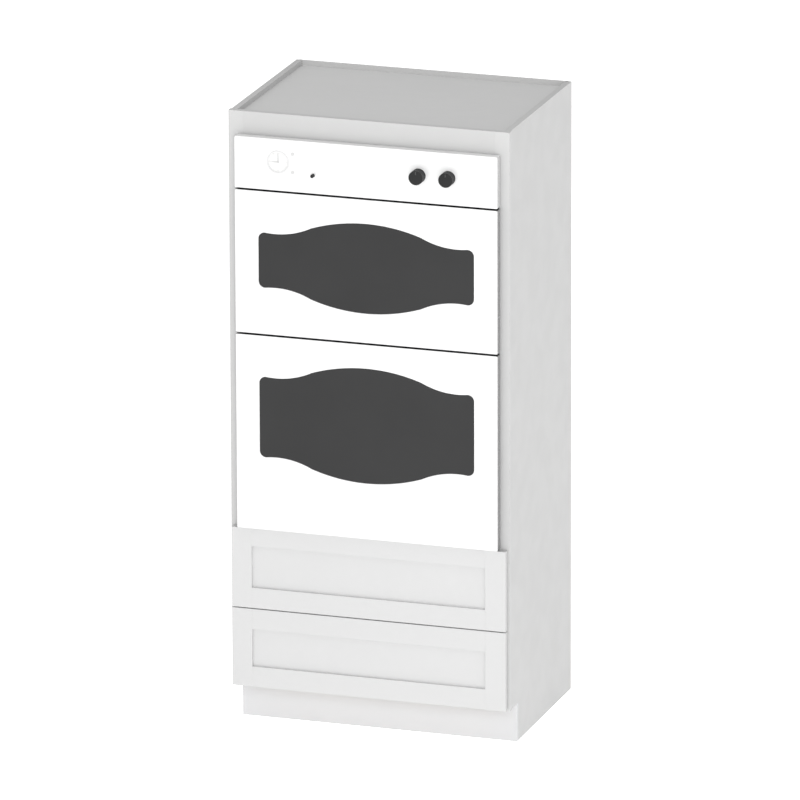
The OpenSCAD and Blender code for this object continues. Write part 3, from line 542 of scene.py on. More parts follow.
@dataclass(frozen=True)
class Moulded(Finish):
    """Moulded plastic or rubber with a fine spark grain."""

    roughness: float
    grain: float = 1400.0
    depth: float = 0.04 * MM
    coat: float = 0.0
    index: float = 1.45
    rim: Triple | None = None

    def build(self, net: Net) -> bpy.types.Material:
        """Fine grain, edges glossier from handling and lighter as a painted sheen, and a little
        dust in the tone.

        Args:
            net: The empty net.

        Returns:
            The material.
        """
        dust = net.noise(24.0, detail=4.0).ramp(0.45, 0.75)
        base = net.blend(dust * 0.25, self.colour, shade(self.colour, 1.35))
        if self.rim:
            base = net.blend(net.attribute("wall"), base, self.rim)
        # Painted sheen: edges lighter in colour; the lower roughness there is handling gloss.
        edge = net.attribute("edge") * 0.4
        base = net.blend(edge, base, shade(self.colour, 1.5))
        normal = net.bump(net.noise(self.grain), self.depth, strength=0.6)
        return net.surface(Base_Color=base, Roughness=self.roughness + dust * 0.08 - edge * 0.2,
                           Normal=normal, Coat_Weight=self.coat, IOR=self.index)


@dataclass(frozen=True)
class BoardLacquer(Finish):
    """Circuit board lacquer with copper tracks showing under it."""

    copper: float = 2.2
    film_depth: float = 0.04 * MM

    def build(self, net: Net) -> bpy.types.Material:
        """Broken straight tracks, which are the joints between the bricks of a brick pattern.

        Args:
            net: The empty net.

        Returns:
            The material.
        """
        upright = net.stretched((1.0, 1.0, 1.0), (math.pi / 2, 0, 0))
        node = net.add("ShaderNodeTexBrick", {"offset": 0.37},
                       {"Vector": upright, "Scale": 55.0, "Mortar Size": 0.06,
                        "Color1": _colour(self.colour), "Color2": _colour(shade(self.colour, 0.8)),
                        "Mortar": _colour(shade(self.colour, self.copper))})
        tracks = Signal(net, node.outputs["Color"])
        normal = net.bump(net.noise(300.0), self.film_depth, strength=0.4)
        return net.surface(Base_Color=tracks, Roughness=0.3, Normal=normal)


CABINET = Paint("cabinet_paint", (0.53, 0.53, 0.528))
# Lighter than the cabinet paint of the rails: painted light on the stiles, against the shade that
# the doors cast beside them.
STILES_PAINTED_LIGHT = Paint("stile_painted_light", (0.545, 0.545, 0.543))
# Lighter than the cabinet paint the top is painted with: painted light on the upward top, which
# gets less of the lamps' light.
TRAY_PAINTED_LIGHT = Paint("tray_paint", (0.62, 0.62, 0.618), roughness=0.55)
BACK_BOARD = Paint("back_board", (0.56, 0.56, 0.556), roughness=0.6)
FRONTS = Paint("front_paint", (0.592, 0.592, 0.592), roughness=0.38)
# A cooler, lighter copy of the cabinet paint: painted light on the toe board, against the shade of
# the toe space.
TOE_PAINTED_LIGHT = Paint("toe_paint", (0.638, 0.641, 0.652), roughness=0.48, wear=0.6)
# Its wall colour is painted shade, nearly black, for the gaps round the doors and the fascia.
DOOR_ENAMEL = Enamel("door_enamel", (0.82, 0.82, 0.818), roughness=0.22,
                     wall=(0.03, 0.03, 0.031))
LINER_ENAMEL = Enamel("liner_enamel", (0.075, 0.078, 0.085), roughness=0.25, speckle=0.25)
CAVITY_ENAMEL = Enamel("cavity_enamel", (0.035, 0.04, 0.05), roughness=0.3, speckle=0.8)
TRIM_ENAMEL = Enamel("trim_enamel", (0.065, 0.066, 0.07), roughness=0.32)
WINDOW = SmokedGlass("window_glass", (0.022, 0.022, 0.0225), roughness=0.12)
INNER_GLASS = SmokedGlass("inner_glass", (0.03, 0.03, 0.032), roughness=0.06, alpha=0.55)
LENS = ClearGlass("clock_glass", (0.96, 0.96, 0.96), alpha=0.12)
LAMP = ClearGlass("lamp_glass", (0.93, 0.91, 0.84), alpha=0.55, roughness=0.12)
BOARD = Grain("inner_board", (0.60, 0.50, 0.36), (0.44, 0.34, 0.22), Axis.Z, 0.55)
SHELF = Grain("shelf_board", (0.62, 0.52, 0.38), (0.46, 0.36, 0.24), Axis.X, 0.5)
BIRCH = Grain("drawer_birch", (0.70, 0.56, 0.39), (0.56, 0.41, 0.25), Axis.X, 0.38)
BIRCH_SIDES = Grain("drawer_birch_sides", (0.70, 0.56, 0.39), (0.56, 0.41, 0.25), Axis.Y, 0.38)
ZINC = Metal("slide_steel", (0.62, 0.63, 0.65), 0.34, spangle=0.25, brushed=(400.0, 8.0, 400.0))
SHEET = Metal("case_steel", (0.56, 0.57, 0.59), 0.4, spangle=0.5)
HINGE = Metal("hinge_steel", (0.55, 0.55, 0.57), 0.33, spangle=0.2)
SCREW = Metal("screw_steel", (0.42, 0.42, 0.44), 0.36)
CHROME = Metal("rack_chrome", (0.80, 0.80, 0.82), 0.16)
SHEATH = HeatedSheath("element_sheath", (0.16, 0.16, 0.165))
GASKET = Moulded("gasket_rubber", (0.035, 0.035, 0.038), 0.7, grain=700.0, depth=0.2 * MM)
KNOB = Moulded("knob_plastic", (0.011, 0.011, 0.0115), 0.5, index=1.38)
SWITCH = Moulded("switch_plastic", (0.06, 0.06, 0.065), 0.5)
WHITE_BUTTON = Moulded("button_white", (0.58, 0.58, 0.577), 0.38, grain=900.0, depth=0.02 * MM,
                       coat=0.2)
DIAL = Moulded("dial_white", (0.77, 0.77, 0.765), 0.4, grain=900.0, depth=0.02 * MM,
               rim=(0.67, 0.67, 0.67))
HAND = Moulded("hand_grey", (0.40, 0.40, 0.40), 0.45)
MARKS = Moulded("dial_marks", (0.42, 0.42, 0.42), 0.5)
POINTER = Moulded("knob_pointer", (0.07, 0.07, 0.07), 0.5)
LACQUER = BoardLacquer("board_green", (0.03, 0.16, 0.07))


# ---------------------------------------------------------------- surfaces

MOST_EASE = 0.45  # the largest radius of a box's edges, as a share of its least half width
FLAT = 0.999  # a normal's largest part is over this where it belongs to a flat side
WIRE_END = 0.3  # how far the middle of a wire's end stands out, as a share of its radius


@dataclass
class Surface:
    """A mesh as arrays: points, faces, edge share, and wall tone: painted shade on sheets, a grey
    rim on the dial.
    """

    points: Array
    faces: list[tuple[int, ...]]
    edge: Array
    wall: Array | None = None

    def __add__(self, other: "Surface") -> "Surface":
        """Both surfaces in one mesh, with how much they are an edge, but with no wall tone and so
        no painted shade.

        Args:
            other: The surface that comes after this one.

        Returns:
            The new surface.
        """
        step = len(self.points)
        moved = [tuple(index + step for index in face) for face in other.faces]
        return Surface(np.vstack([self.points, other.points]), self.faces + moved,
                       np.concatenate([self.edge, other.edge]))

    def merged(self) -> "Surface":
        """The surface with points that share a place made one, and faces that vanish left out.

        Returns:
            The new surface.
        """
        keys = np.round(self.points / MICRON).astype(np.int64)
        _, first, back = np.unique(keys, axis=0, return_index=True, return_inverse=True)
        back = back.ravel()
        faces = []
        for face in self.faces:
            ring = [int(back[index]) for index in face]
            ring = [index for place, index in enumerate(ring) if index != ring[place - 1]]
            if len(ring) > 2:
                faces.append(tuple(ring))
        edge = np.zeros(len(first))
        np.maximum.at(edge, back, self.edge)
        wall = None if self.wall is None else self.wall[first]
        return Surface(self.points[first], faces, edge, wall)


def joined(surfaces: list[Surface]) -> Surface:
    """Several surfaces in one mesh.

    Args:
        surfaces: One or more surfaces.

    Returns:
        The new surface.
    """
    total = surfaces[0]
    for surface in surfaces[1:]:
        total = total + surface
    return total


def grid_faces(rows: int, columns: int, round_rows: bool = False, round_columns: bool = False,
               offset: int = 0) -> list[tuple[int, int, int, int]]:
    """Quads of a grid of points stored row by row.

    Args:
        rows: Number of rows.
        columns: Number of points in a row.
        round_rows: Whether the last row joins the first.
        round_columns: Whether the last column joins the first.
        offset: Index of the grid's first point.

    Returns:
        The quads, each going along its row and then up a row.
    """
    row, column = np.meshgrid(np.arange(rows if round_rows else rows - 1),
                              np.arange(columns if round_columns else columns - 1),
                              indexing="ij")
    up, along = (row + 1) % rows, (column + 1) % columns
    quads = np.stack([row * columns + column, row * columns + along,
                      up * columns + along, up * columns + column], axis=-1)
    return [tuple(quad) for quad in (quads.reshape(-1, 4) + offset).tolist()]


def eased_box(low: Array, high: Array, ease: float, steps: int = 2) -> Surface:
    """A box whose edges are rounded to a small radius.

    Each point of the plain box is drawn to the box inset by the radius, and pushed out again by
    the radius along the way it came: q = c + r (p - c) / |p - c|, with c the nearest point of the
    inset box. Samples near an edge sit at r tan(angle), so the round is even, and one more row
    beside it keeps the flat faces flat when they are shaded smooth.

    Args:
        low: Lowest corner.
        high: Highest corner.
        ease: Radius of the edges.
        steps: Samples in the half of a round that belongs to a face.

    Returns:
        The closed surface.
    """
    centre, half = (low + high) / 2, (high - low) / 2
    ease = min(ease, float(half.min()) * MOST_EASE)
    inner = half - ease
    near = ease * np.tan(np.linspace(0, math.pi / 4, steps + 1))
    samples = []
    for axis in range(3):
        support = inner[axis] - min(ease, inner[axis] * 0.5)
        side = np.concatenate([[support], inner[axis] + near])
        samples.append(np.concatenate([-side[::-1], side]))
    points, faces, count = [], [], 0
    for axis in range(3):
        first, second = (axis + 1) % 3, (axis + 2) % 3
        a, b = np.meshgrid(samples[first], samples[second], indexing="ij")
        for sign in (-1.0, 1.0):
            face = np.zeros(a.shape + (3,))
            face[..., first], face[..., second], face[..., axis] = a, b, sign * half[axis]
            quads = grid_faces(*a.shape, offset=count)
            faces += quads if sign < 0 else [quad[::-1] for quad in quads]
            points.append(face.reshape(-1, 3))
            count += a.size
    plain = np.vstack(points)
    core = np.clip(plain, -inner, inner)
    away = plain - core
    outward = away / np.linalg.norm(away, axis=1, keepdims=True)
    edge = (np.abs(outward).max(axis=1) < FLAT).astype(float)
    return Surface(core + ease * outward + centre, faces, edge).merged()


def round_outline(corners: list[tuple[float, float]], radii: list[float],
                  steps: int = 6) -> Array:
    """A closed outline with an arc in place of each corner.

    An arc starts at the distance r tan(turn / 2) before its corner, turns about the centre that
    lies at the radius from both sides, and ends at the same distance after it.

    Args:
        corners: Corners in counter-clockwise order.
        radii: The radius at each corner.
        steps: Segments in an arc.

    Returns:
        The points, as an array with two columns.
    """
    ring = np.array(corners, float)
    pieces = []
    for corner, before, after, radius in zip(ring, np.roll(ring, 1, 0), np.roll(ring, -1, 0),
                                             radii):
        arriving = (corner - before) / np.linalg.norm(corner - before)
        leaving = (after - corner) / np.linalg.norm(after - corner)
        turn = math.atan2(arriving[0] * leaving[1] - arriving[1] * leaving[0],
                          float(arriving @ leaving))
        if radius <= 0:
            pieces.append(corner[None, :])
            continue
        side = math.copysign(1.0, turn)
        start = corner - arriving * radius * math.tan(abs(turn) / 2)
        centre = start + side * radius * np.array([-arriving[1], arriving[0]])
        angles = np.linspace(0, turn, steps + 1)
        spoke = start - centre
        cos, sin = np.cos(angles), np.sin(angles)
        pieces.append(centre + np.stack([spoke[0] * cos - spoke[1] * sin,
                                         spoke[0] * sin + spoke[1] * cos], axis=1))
    return np.vstack(pieces)


def rectangle(left: float, bottom: float, right: float, top: float) -> list[tuple[float, float]]:
    """The corners of a rectangle in counter-clockwise order, from the lowest left one."""
    return [(left, bottom), (right, bottom), (right, top), (left, top)]


def circle(middle: tuple[float, float], radius: float, steps: int) -> Array:
    """A counter-clockwise ring of points (x + r cos a, z + r sin a), in two columns."""
    turn = np.linspace(0, math.tau, steps, endpoint=False)
    return np.stack([middle[0] + radius * np.cos(turn), middle[1] + radius * np.sin(turn)], axis=1)


def outline_normals(outline: Array) -> Array:
    """Outward vectors of a counter-clockwise outline whose length carries an even offset.

    The vector at a point is the mitre of the normals of its two sides, (a + b) / (1 + a . b).

    Args:
        outline: The outline's points in order.

    Returns:
        One vector for each point.
    """
    along = np.roll(outline, -1, 0) - outline
    along /= np.linalg.norm(along, axis=1, keepdims=True)
    after = np.stack([along[:, 1], -along[:, 0]], axis=1)
    before = np.roll(after, 1, 0)
    return (after + before) / (1 + (after * before).sum(axis=1, keepdims=True))


def slab(outline: Array, low: float, high: float, ease: float, axes: tuple[int, int, int],
         steps: int = 3) -> Surface:
    """A prism with eased rims on both of its faces.

    A row of points is the outline drawn in by r (1 - cos a) at the depth r (1 - sin a) from a
    face, for angles a from the face to the wall, with a support row inside each face.

    Args:
        outline: Counter-clockwise outline in the first two of the axes.
        low: Start along the third axis.
        high: End along the third axis.
        ease: Radius of the rims.
        axes: The axes of the outline's two columns and of the depth.
        steps: Segments in each rim's round.

    Returns:
        The closed surface.
    """
    inward = -outline_normals(outline)
    angle = np.linspace(math.pi / 2, 0, steps + 1)
    support = 2 * ease
    draw = np.concatenate([[support], ease * (1 - np.cos(angle))])
    depth = np.concatenate([[0.0], ease * (1 - np.sin(angle))])
    draws = np.concatenate([draw, draw[::-1]])
    depths = np.concatenate([low + depth, high - depth[::-1]])
    columns = len(outline)
    points = np.zeros((len(draws), columns, 3))
    points[..., axes[0]] = outline[:, 0] + draws[:, None] * inward[:, 0]
    points[..., axes[1]] = outline[:, 1] + draws[:, None] * inward[:, 1]
    points[..., axes[2]] = depths[:, None]
    faces = grid_faces(len(draws), columns, round_columns=True)
    last = (len(draws) - 1) * columns
    faces.append(tuple(range(columns))[::-1])
    faces.append(tuple(range(last, last + columns)))
    edge = np.repeat((draws < support) & (draws > MICRON), columns).astype(float)
    if _right_handed(axes):
        return Surface(points.reshape(-1, 3), faces, edge)
    return Surface(points.reshape(-1, 3), [face[::-1] for face in faces], edge)


def _right_handed(axes: tuple[int, int, int]) -> bool:
    """Whether three axes are in right-handed order."""
    return axes in ((0, 1, 2), (1, 2, 0), (2, 0, 1))


def turned(profile: list[tuple[float, float]], centre: Vector, segments: int = 64,
           flutes: int = 0, flute_depth: float = 0.0,
           flute_zone: tuple[float, float] = (0.0, 0.0), edges: tuple[int, ...] = ()) -> Surface:
    """A turned shape about an axis that points out of the unit's front, along -Y.

    A point at the angle a is centre + (r cos a, -h, r sin a), with r and h from the profile. In
    the flute zone r loses depth (1 + cos(n a)) / 2 squared.

    Args:
        profile: Radius and height pairs from the back to the front.
        centre: The point on the axis at height 0.
        segments: Points round the axis.
        flutes: Number of grip flutes.
        flute_depth: Depth of a flute.
        flute_zone: Heights between which the flutes are cut.
        edges: Profile rows that count as edges.

    Returns:
        The surface, closed where the profile reaches the axis.
    """
    rows = np.array(profile, float)
    angle = np.linspace(0, 2 * math.pi, segments, endpoint=False)
    radius = np.repeat(rows[:, :1], segments, axis=1)
    if flutes:
        cut = flute_depth * ((1 + np.cos(flutes * angle)) / 2) ** 2
        zone = (rows[:, 1] >= flute_zone[0]) & (rows[:, 1] <= flute_zone[1])
        radius = np.where(zone[:, None], radius - cut[None, :], radius)
    points = np.stack([centre[0] + radius * np.cos(angle),
                       np.repeat(centre[1] - rows[:, 1:], segments, axis=1),
                       centre[2] + radius * np.sin(angle)], axis=-1)
    edge = np.zeros(points.shape[:2])
    edge[list(edges)] = 1.0
    faces = grid_faces(len(rows), segments, round_columns=True)
    return Surface(points.reshape(-1, 3), faces, edge.ravel()).merged()


def rounded_profile(points: list[tuple[float, float]], radii: list[float],
                    steps: int = 4) -> list[tuple[float, float]]:
    """An open profile with an arc at each inner point.

    The arc is the quadratic curve from r before the corner to r after it, with the corner as its
    control point: (1 - t)^2 a + 2 t (1 - t) c + t^2 b.

    Args:
        points: The profile's points in order.
        radii: How far from each inner point its arc starts and ends.
        steps: Segments in an arc.

    Returns:
        The profile with its arcs.
    """
    line = [np.array(point, float) for point in points]
    out = [tuple(line[0])]
    share = np.linspace(0, 1, steps + 1)[:, None]
    for before, corner, after, radius in zip(line, line[1:], line[2:], radii):
        a = corner + (before - corner) / np.linalg.norm(before - corner) * radius
        b = corner + (after - corner) / np.linalg.norm(after - corner) * radius
        arc = (1 - share) ** 2 * a + 2 * share * (1 - share) * corner + share ** 2 * b
        out += [tuple(point) for point in (arc if radius > 0 else corner[None, :])]
    out.append(tuple(line[-1]))
    return out


def flat_tube(path: Array, height: float, radius: float, sides: int = 8,
              closed: bool = False) -> Surface:
    """A round wire that follows a path in a level plane.

    With t the path's direction and s = t turned a quarter to the right, a point of the ring at
    the angle a is p + r (cos a s + sin a z).

    Args:
        path: Points of the path in X and Y.
        height: Z of the plane.
        radius: The wire's radius.
        sides: Points round the wire.
        closed: Whether the path is a loop.

    Returns:
        The surface, with domed ends where the path is open.
    """
    if closed:
        along = np.roll(path, -1, 0) - np.roll(path, 1, 0)
    else:
        along = np.gradient(path, axis=0)
    along /= np.linalg.norm(along, axis=1, keepdims=True)
    radii = np.full(len(path), radius)
    if not closed:
        path = np.vstack([path[0] - along[0] * radius * WIRE_END, path,
                          path[-1] + along[-1] * radius * WIRE_END])
        along = np.vstack([along[:1], along, along[-1:]])
        radii = np.concatenate([[0.0], radii, [0.0]])
    side = np.stack([along[:, 1], -along[:, 0]], axis=1)
    angle = np.linspace(0, 2 * math.pi, sides, endpoint=False)
    reach = radii[:, None] * np.cos(angle)
    points = np.stack([path[:, :1] + side[:, :1] * reach, path[:, 1:] + side[:, 1:] * reach,
                       height + radii[:, None] * np.sin(angle)], axis=-1)
    faces = [quad[::-1] for quad in grid_faces(len(path), sides, round_rows=closed,
                                               round_columns=True)]
    surface = Surface(points.reshape(-1, 3), faces, np.zeros(points.shape[0] * sides))
    return surface if closed else surface.merged()


# ---------------------------------------------------------------- pieces


def mark_open_edges(mesh: bpy.types.Mesh) -> None:
    """Marks the edges that only one face uses as sharp, so that thickened sheets keep flat walls.

    Args:
        mesh: The mesh to mark.
    """
    sides = np.zeros(len(mesh.loops), int)
    mesh.loops.foreach_get("edge_index", sides)
    sharp = np.zeros(len(mesh.edges), bool)
    mesh.edges.foreach_get("use_edge_sharp", sharp)
    sharp |= np.bincount(sides, minlength=len(sharp)) == 1
    mesh.edges.foreach_set("use_edge_sharp", sharp)


def add_piece(name: str, surface: Surface, body: str, finish: Finish,
              stands_for: tuple[str, ...] = ()) -> bpy.types.Object:
    """Puts a surface into the scene as one piece of the object.

    Args:
        name: The piece's name.
        surface: Its mesh as arrays.
        body: The body that it moves with.
        finish: Its finish.
        stands_for: The CAD nodes that it is shown in place of.

    Returns:
        The object.
    """
    mesh = bpy.data.meshes.new(name)
    mesh.from_pydata(surface.points.tolist(), [], surface.faces)
    mesh.update()
    mesh.polygons.foreach_set("use_smooth", np.ones(len(mesh.polygons), bool))
    mesh.set_sharp_from_angle(angle=SHARP_BEND)
    mark_open_edges(mesh)
    # The "wall" values are painted shade on the pressed sheets' walls, and the grey rim on the
    # clock dial.
    for key, values in (("edge", surface.edge), ("wall", surface.wall)):
        if values is not None:
            stored = mesh.attributes.new(key, "FLOAT", "POINT")
            stored.data.foreach_set("value", values.astype(np.float32))
    mesh.materials.append(finish.material())
    piece = bpy.data.objects.new(name, mesh)
    bpy.context.scene.collection.objects.link(piece)
    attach(piece, body)
    if stands_for:
        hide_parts(*stands_for)
    LOG.info("%s on %s: %d faces", name, body, len(surface.faces))
    return piece


def corners_of(mesh: bpy.types.Mesh) -> tuple[Array, Array]:
    """The vertices and the triangles of a mesh.

    Args:
        mesh: The mesh to read.

    Returns:
        The vertices' places in rows, and the three vertices of each triangle in rows.
    """
    points = np.zeros(len(mesh.vertices) * 3)
    mesh.vertices.foreach_get("co", points)
    mesh.calc_loop_triangles()
    corners = np.zeros(len(mesh.loop_triangles) * 3, int)
    mesh.loop_triangles.foreach_get("vertices", corners)
    return points.reshape(-1, 3), corners.reshape(-1, 3)


@dataclass
class EasedCopy:
    """A CAD node shown as a joined mesh, smooth on its curves and beveled on its edges."""

    node: str
    finish: Finish
    slot: str
    ease: float = 0.4 * MM
    segments: int = 2
    bend: float = 35.0
    flat: float = 0.4

    def build(self) -> None:
        """Joins the node's loose triangles and eases the edges where faces bend sharply."""
        points, triangles = corners_of(frame["nodes"][self.node].data)
        surface = Surface(points, [tuple(face) for face in triangles.tolist()],
                          np.zeros(len(points))).merged()
        piece = add_piece(f"{self.node}_eased", surface, body_of(self.node), self.finish,
                          (self.node,))
        self._join_flat_faces(piece.data)
        if self.ease:
            bevel = piece.modifiers.new("ease", "BEVEL")
            bevel.width = self.ease
            bevel.segments = self.segments
            bevel.limit_method = "ANGLE"
            bevel.angle_limit = math.radians(self.bend)
            bevel.use_clamp_overlap = True
            bevel.harden_normals = True

    def _join_flat_faces(self, mesh: bpy.types.Mesh) -> None:
        """Makes one face of triangles that lie in one plane, and finds the sharp edges again.

        Args:
            mesh: The mesh to change.
        """
        joined_mesh = bmesh.new()
        joined_mesh.from_mesh(mesh)
        bmesh.ops.dissolve_limit(joined_mesh, angle_limit=math.radians(self.flat),
                                 use_dissolve_boundaries=False, verts=joined_mesh.verts,
                                 edges=joined_mesh.edges)
        joined_mesh.to_mesh(mesh)
        joined_mesh.free()
        mesh.set_sharp_from_angle(angle=math.radians(self.bend))


def dress(node: str, finish: Finish) -> None:
    """Gives a CAD node a finish in place of its plain colour."""
    for holder in frame["nodes"][node].material_slots:
        holder.material = finish.material()


def body_of(node: str) -> str:
    """The body that a CAD node belongs to."""
    return frame["nodes"][node]["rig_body"]


def middle_of(low: Vector, high: Vector) -> tuple[float, float]:
    """X and Z of the middle of a box, from its lowest and its highest corner."""
    return (low.x + high.x) / 2, (low.z + high.z) / 2


def solid_boxes(node: str) -> list[tuple[Array, Array]]:
    """The lowest and highest corner of each separate solid of a CAD node.

    Triangles that share a corner get the lowest of their labels, over and over, until each solid
    has one label.

    Args:
        node: The node's name.

    Returns:
        A pair of corners for each solid.
    """
    points, corners = corners_of(frame["nodes"][node].data)
    _, same = np.unique(np.round(points / MICRON).astype(np.int64), axis=0, return_inverse=True)
    triangles = same.ravel()[corners]
    label = np.arange(triangles.max() + 1)
    while True:
        lowest = label[triangles].min(axis=1)
        fresh = label.copy()
        np.minimum.at(fresh, triangles.ravel(), np.repeat(lowest, 3))
        if (fresh == label).all():
            break
        label = fresh
    owner = label[same.ravel()]
    return [(points[owner == each].min(axis=0), points[owner == each].max(axis=0))
            for each in np.unique(owner)]


# ---------------------------------------------------------------- cabinet


@dataclass
class Boards:
    """Straight boards shown as eased boxes, one for each solid of a CAD node."""

    node: str
    finish: Finish
    slot: str
    ease: float = 0.6 * MM

    def build(self) -> None:
        """Makes the boards in place of their node."""
        boxes = [eased_box(low, high, self.ease) for low, high in solid_boxes(self.node)]
        add_piece(f"{self.node}_eased", joined(boxes), body_of(self.node), self.finish,
                  (self.node,))


@dataclass
class SidePanel:
    """A side panel with the notch of the toe space at its front foot."""

    node: str
    ease: float = 0.6 * MM
    corner: float = 2.0 * MM

    def build(self) -> None:
        """Makes the panel from its side outline, with the notch that the toe board fills."""
        low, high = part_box(self.node)
        toe_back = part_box("toe_board")[1].y
        toe_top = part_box("toe_board")[1].z
        corners = [(toe_back, low.z), (high.y, low.z), (high.y, high.z), (low.y, high.z),
                   (low.y, toe_top), (toe_back, toe_top)]
        outline = round_outline(corners, [self.corner] * len(corners), steps=3)
        board = slab(outline, low.x, high.x, self.ease, axes=(1, 2, 0))
        add_piece(f"{self.node}_board", board, body_of(self.node), CABINET,
                  (self.node,))


@dataclass
class Cabinet:
    """The carcass, the face frame and everything of wood that stays still."""

    sides: tuple[SidePanel, ...] = (SidePanel("left_side_panel"), SidePanel("right_side_panel"))
    boards: tuple[Boards, ...] = (
        # Stiles, top and toe board take lightened copies of the cabinet paint: painted light.
        Boards("frame_stiles", STILES_PAINTED_LIGHT, "cabinet_paint", ease=0.3 * MM),
        Boards("frame_rails", CABINET, "cabinet_paint", ease=0.3 * MM),
        Boards("top_panel", TRAY_PAINTED_LIGHT, "tray_paint"),
        Boards("back_panel", BACK_BOARD, "inner_board"),
        Boards("toe_board", TOE_PAINTED_LIGHT, "toe_paint"),
        Boards("back_nailers", BOARD, "inner_board"),
        Boards("floor_panel", SHELF, "inner_board"),
        Boards("oven_platform", SHELF, "inner_board"),
        Boards("inner_cleats", BOARD, "inner_board", ease=1.0 * MM),
    )

    def build(self) -> None:
        """Makes the panels and boards."""
        for piece in self.sides + self.boards:
            piece.build()


class Level(Enum):
    """The two levels at which drawers and oven doors come."""

    LOWER = "lower"
    UPPER = "upper"


@dataclass
class Drawer:
    """A drawer: its framed front, its box and the slide members that go with it."""

    level: Level
    ease: float = 0.35 * MM
    box_ease: float = 1.5 * MM
    slide_ease: float = 0.2 * MM

    def build(self) -> None:
        """Makes the wooden parts and eases the steel ones."""
        name = self.level.value
        for part in ("stiles", "rails"):
            Boards(f"{name}_drawer_{part}", FRONTS, "front_paint", self.ease).build()
        dress(f"{name}_drawer_panel", FRONTS)
        Boards(f"{name}_drawer_sides", BIRCH_SIDES, "drawer_birch", self.box_ease).build()
        Boards(f"{name}_drawer_ends", BIRCH, "drawer_birch", self.box_ease).build()
        dress(f"{name}_drawer_bottom", BIRCH)
        for part in ("inner", "middle"):
            EasedCopy(f"{name}_slide_{part}", ZINC, "slide_steel", self.slide_ease).build()


# ---------------------------------------------------------------- oven doors

FACES_UP = 0.7  # an outward vector's upward part is over this on the top wall
ALL_TRIANGLES = 0  # the Delaunay function's option that keeps what lies in the holes
SAME_POINT = 1e-9


@dataclass
class ArchedWindow:
    """The outline of a window whose top and bottom are arches with hollow shoulders."""

    width: float
    shoulder_height: float
    crown_rise: float = 52.8 * MM
    crown_share: float = 0.512
    shoulder_share: float = 0.845
    shoulder_radius: float = 240 * MM
    corner_radius: float = 19 * MM
    steps: int = 40
    corner_steps: int = 8

    def outline(self) -> Array:
        """The closed outline about its middle, counter-clockwise, in X and Z.

        The height over the shoulder level is an arc of the crown's circle out to the kink, then
        R - sqrt(R^2 - (x - s)^2) of the hollow circle, then the corner's own circle, and the
        bottom is the top turned half round.

        Returns:
            The points, as an array with two columns.
        """
        kink = self.width * self.crown_share / 2
        low_x = self.width * self.shoulder_share / 2
        kink_rise = self._hollow(np.array([kink]), low_x)[0]
        drop = self.crown_rise - kink_rise
        crown_radius = (kink ** 2 + drop ** 2) / (2 * drop)
        corner_x = self.width / 2 - self.corner_radius
        corner_rise = self._hollow(np.array([corner_x]), low_x)[0]
        crown_x = np.linspace(-kink, kink, self.steps)
        crown = self.crown_rise - crown_radius + np.sqrt(crown_radius ** 2 - crown_x ** 2)
        hollow_x = np.linspace(kink, corner_x, self.steps)[1:]
        hollow = self._hollow(hollow_x, low_x)
        turn = np.linspace(math.pi / 2, 0, self.corner_steps + 1)[1:]
        corner = np.stack([corner_x + self.corner_radius * np.cos(turn),
                           corner_rise - self.corner_radius * (1 - np.sin(turn))], axis=1)
        right = np.vstack([np.stack([crown_x[crown_x >= 0], crown[crown_x >= 0]], axis=1),
                           np.stack([hollow_x, hollow], axis=1), corner])
        half = self.shoulder_height / 2
        right[:, 1] += half
        left = right[::-1] * [-1, 1]
        top = np.vstack([left, right])
        return np.vstack([top, -top])[::-1]

    def _hollow(self, x: Array, low_x: float) -> Array:
        """Height of the hollow shoulder arc over its lowest point."""
        return self.shoulder_radius - np.sqrt(self.shoulder_radius ** 2 - (x - low_x) ** 2)


def ray_lengths(outline: Array, angles: Array) -> Array:
    """How far each ray from the origin runs before it meets a closed outline round it.

    For the direction d and the side s that starts at p the length is (p x s) / (d x s), taken on
    the side whose end angles hold the ray.

    Args:
        outline: The outline's points, in any order that has one point to an angle.
        angles: The rays' angles.

    Returns:
        One length for each ray.
    """
    along = np.arctan2(outline[:, 1], outline[:, 0])
    order = np.argsort(along)
    ring, along = outline[order], along[order]
    slot_of = np.searchsorted(along, angles, side="right")
    p, q = ring[slot_of - 1], ring[slot_of % len(ring)]
    d = np.stack([np.cos(angles), np.sin(angles)], axis=1)
    side = q - p
    return (p[:, 0] * side[:, 1] - p[:, 1] * side[:, 0]) / (d[:, 0] * side[:, 1]
                                                             - d[:, 1] * side[:, 0])


def inside(points: Array, ring: Array) -> Array:
    """Whether points lie in a closed outline.

    A point is inside where the ray from it to the right crosses an odd number of sides. The side
    from p to q is crossed at x = px + (y - py) (qx - px) / (qy - py).

    Args:
        points: The points to test, in two columns.
        ring: The outline's points in order.

    Returns:
        One truth value for each point.
    """
    start, end = ring, np.roll(ring, -1, 0)
    x, y = points[:, :1], points[:, 1:]
    rise = end[:, 1] - start[:, 1]
    run = (end[:, 0] - start[:, 0]) / np.where(rise == 0, 1.0, rise)
    crossed = ((start[:, 1] > y) != (end[:, 1] > y)) & (x < start[:, 0] + (y - start[:, 1]) * run)
    return crossed.sum(axis=1) % 2 == 1


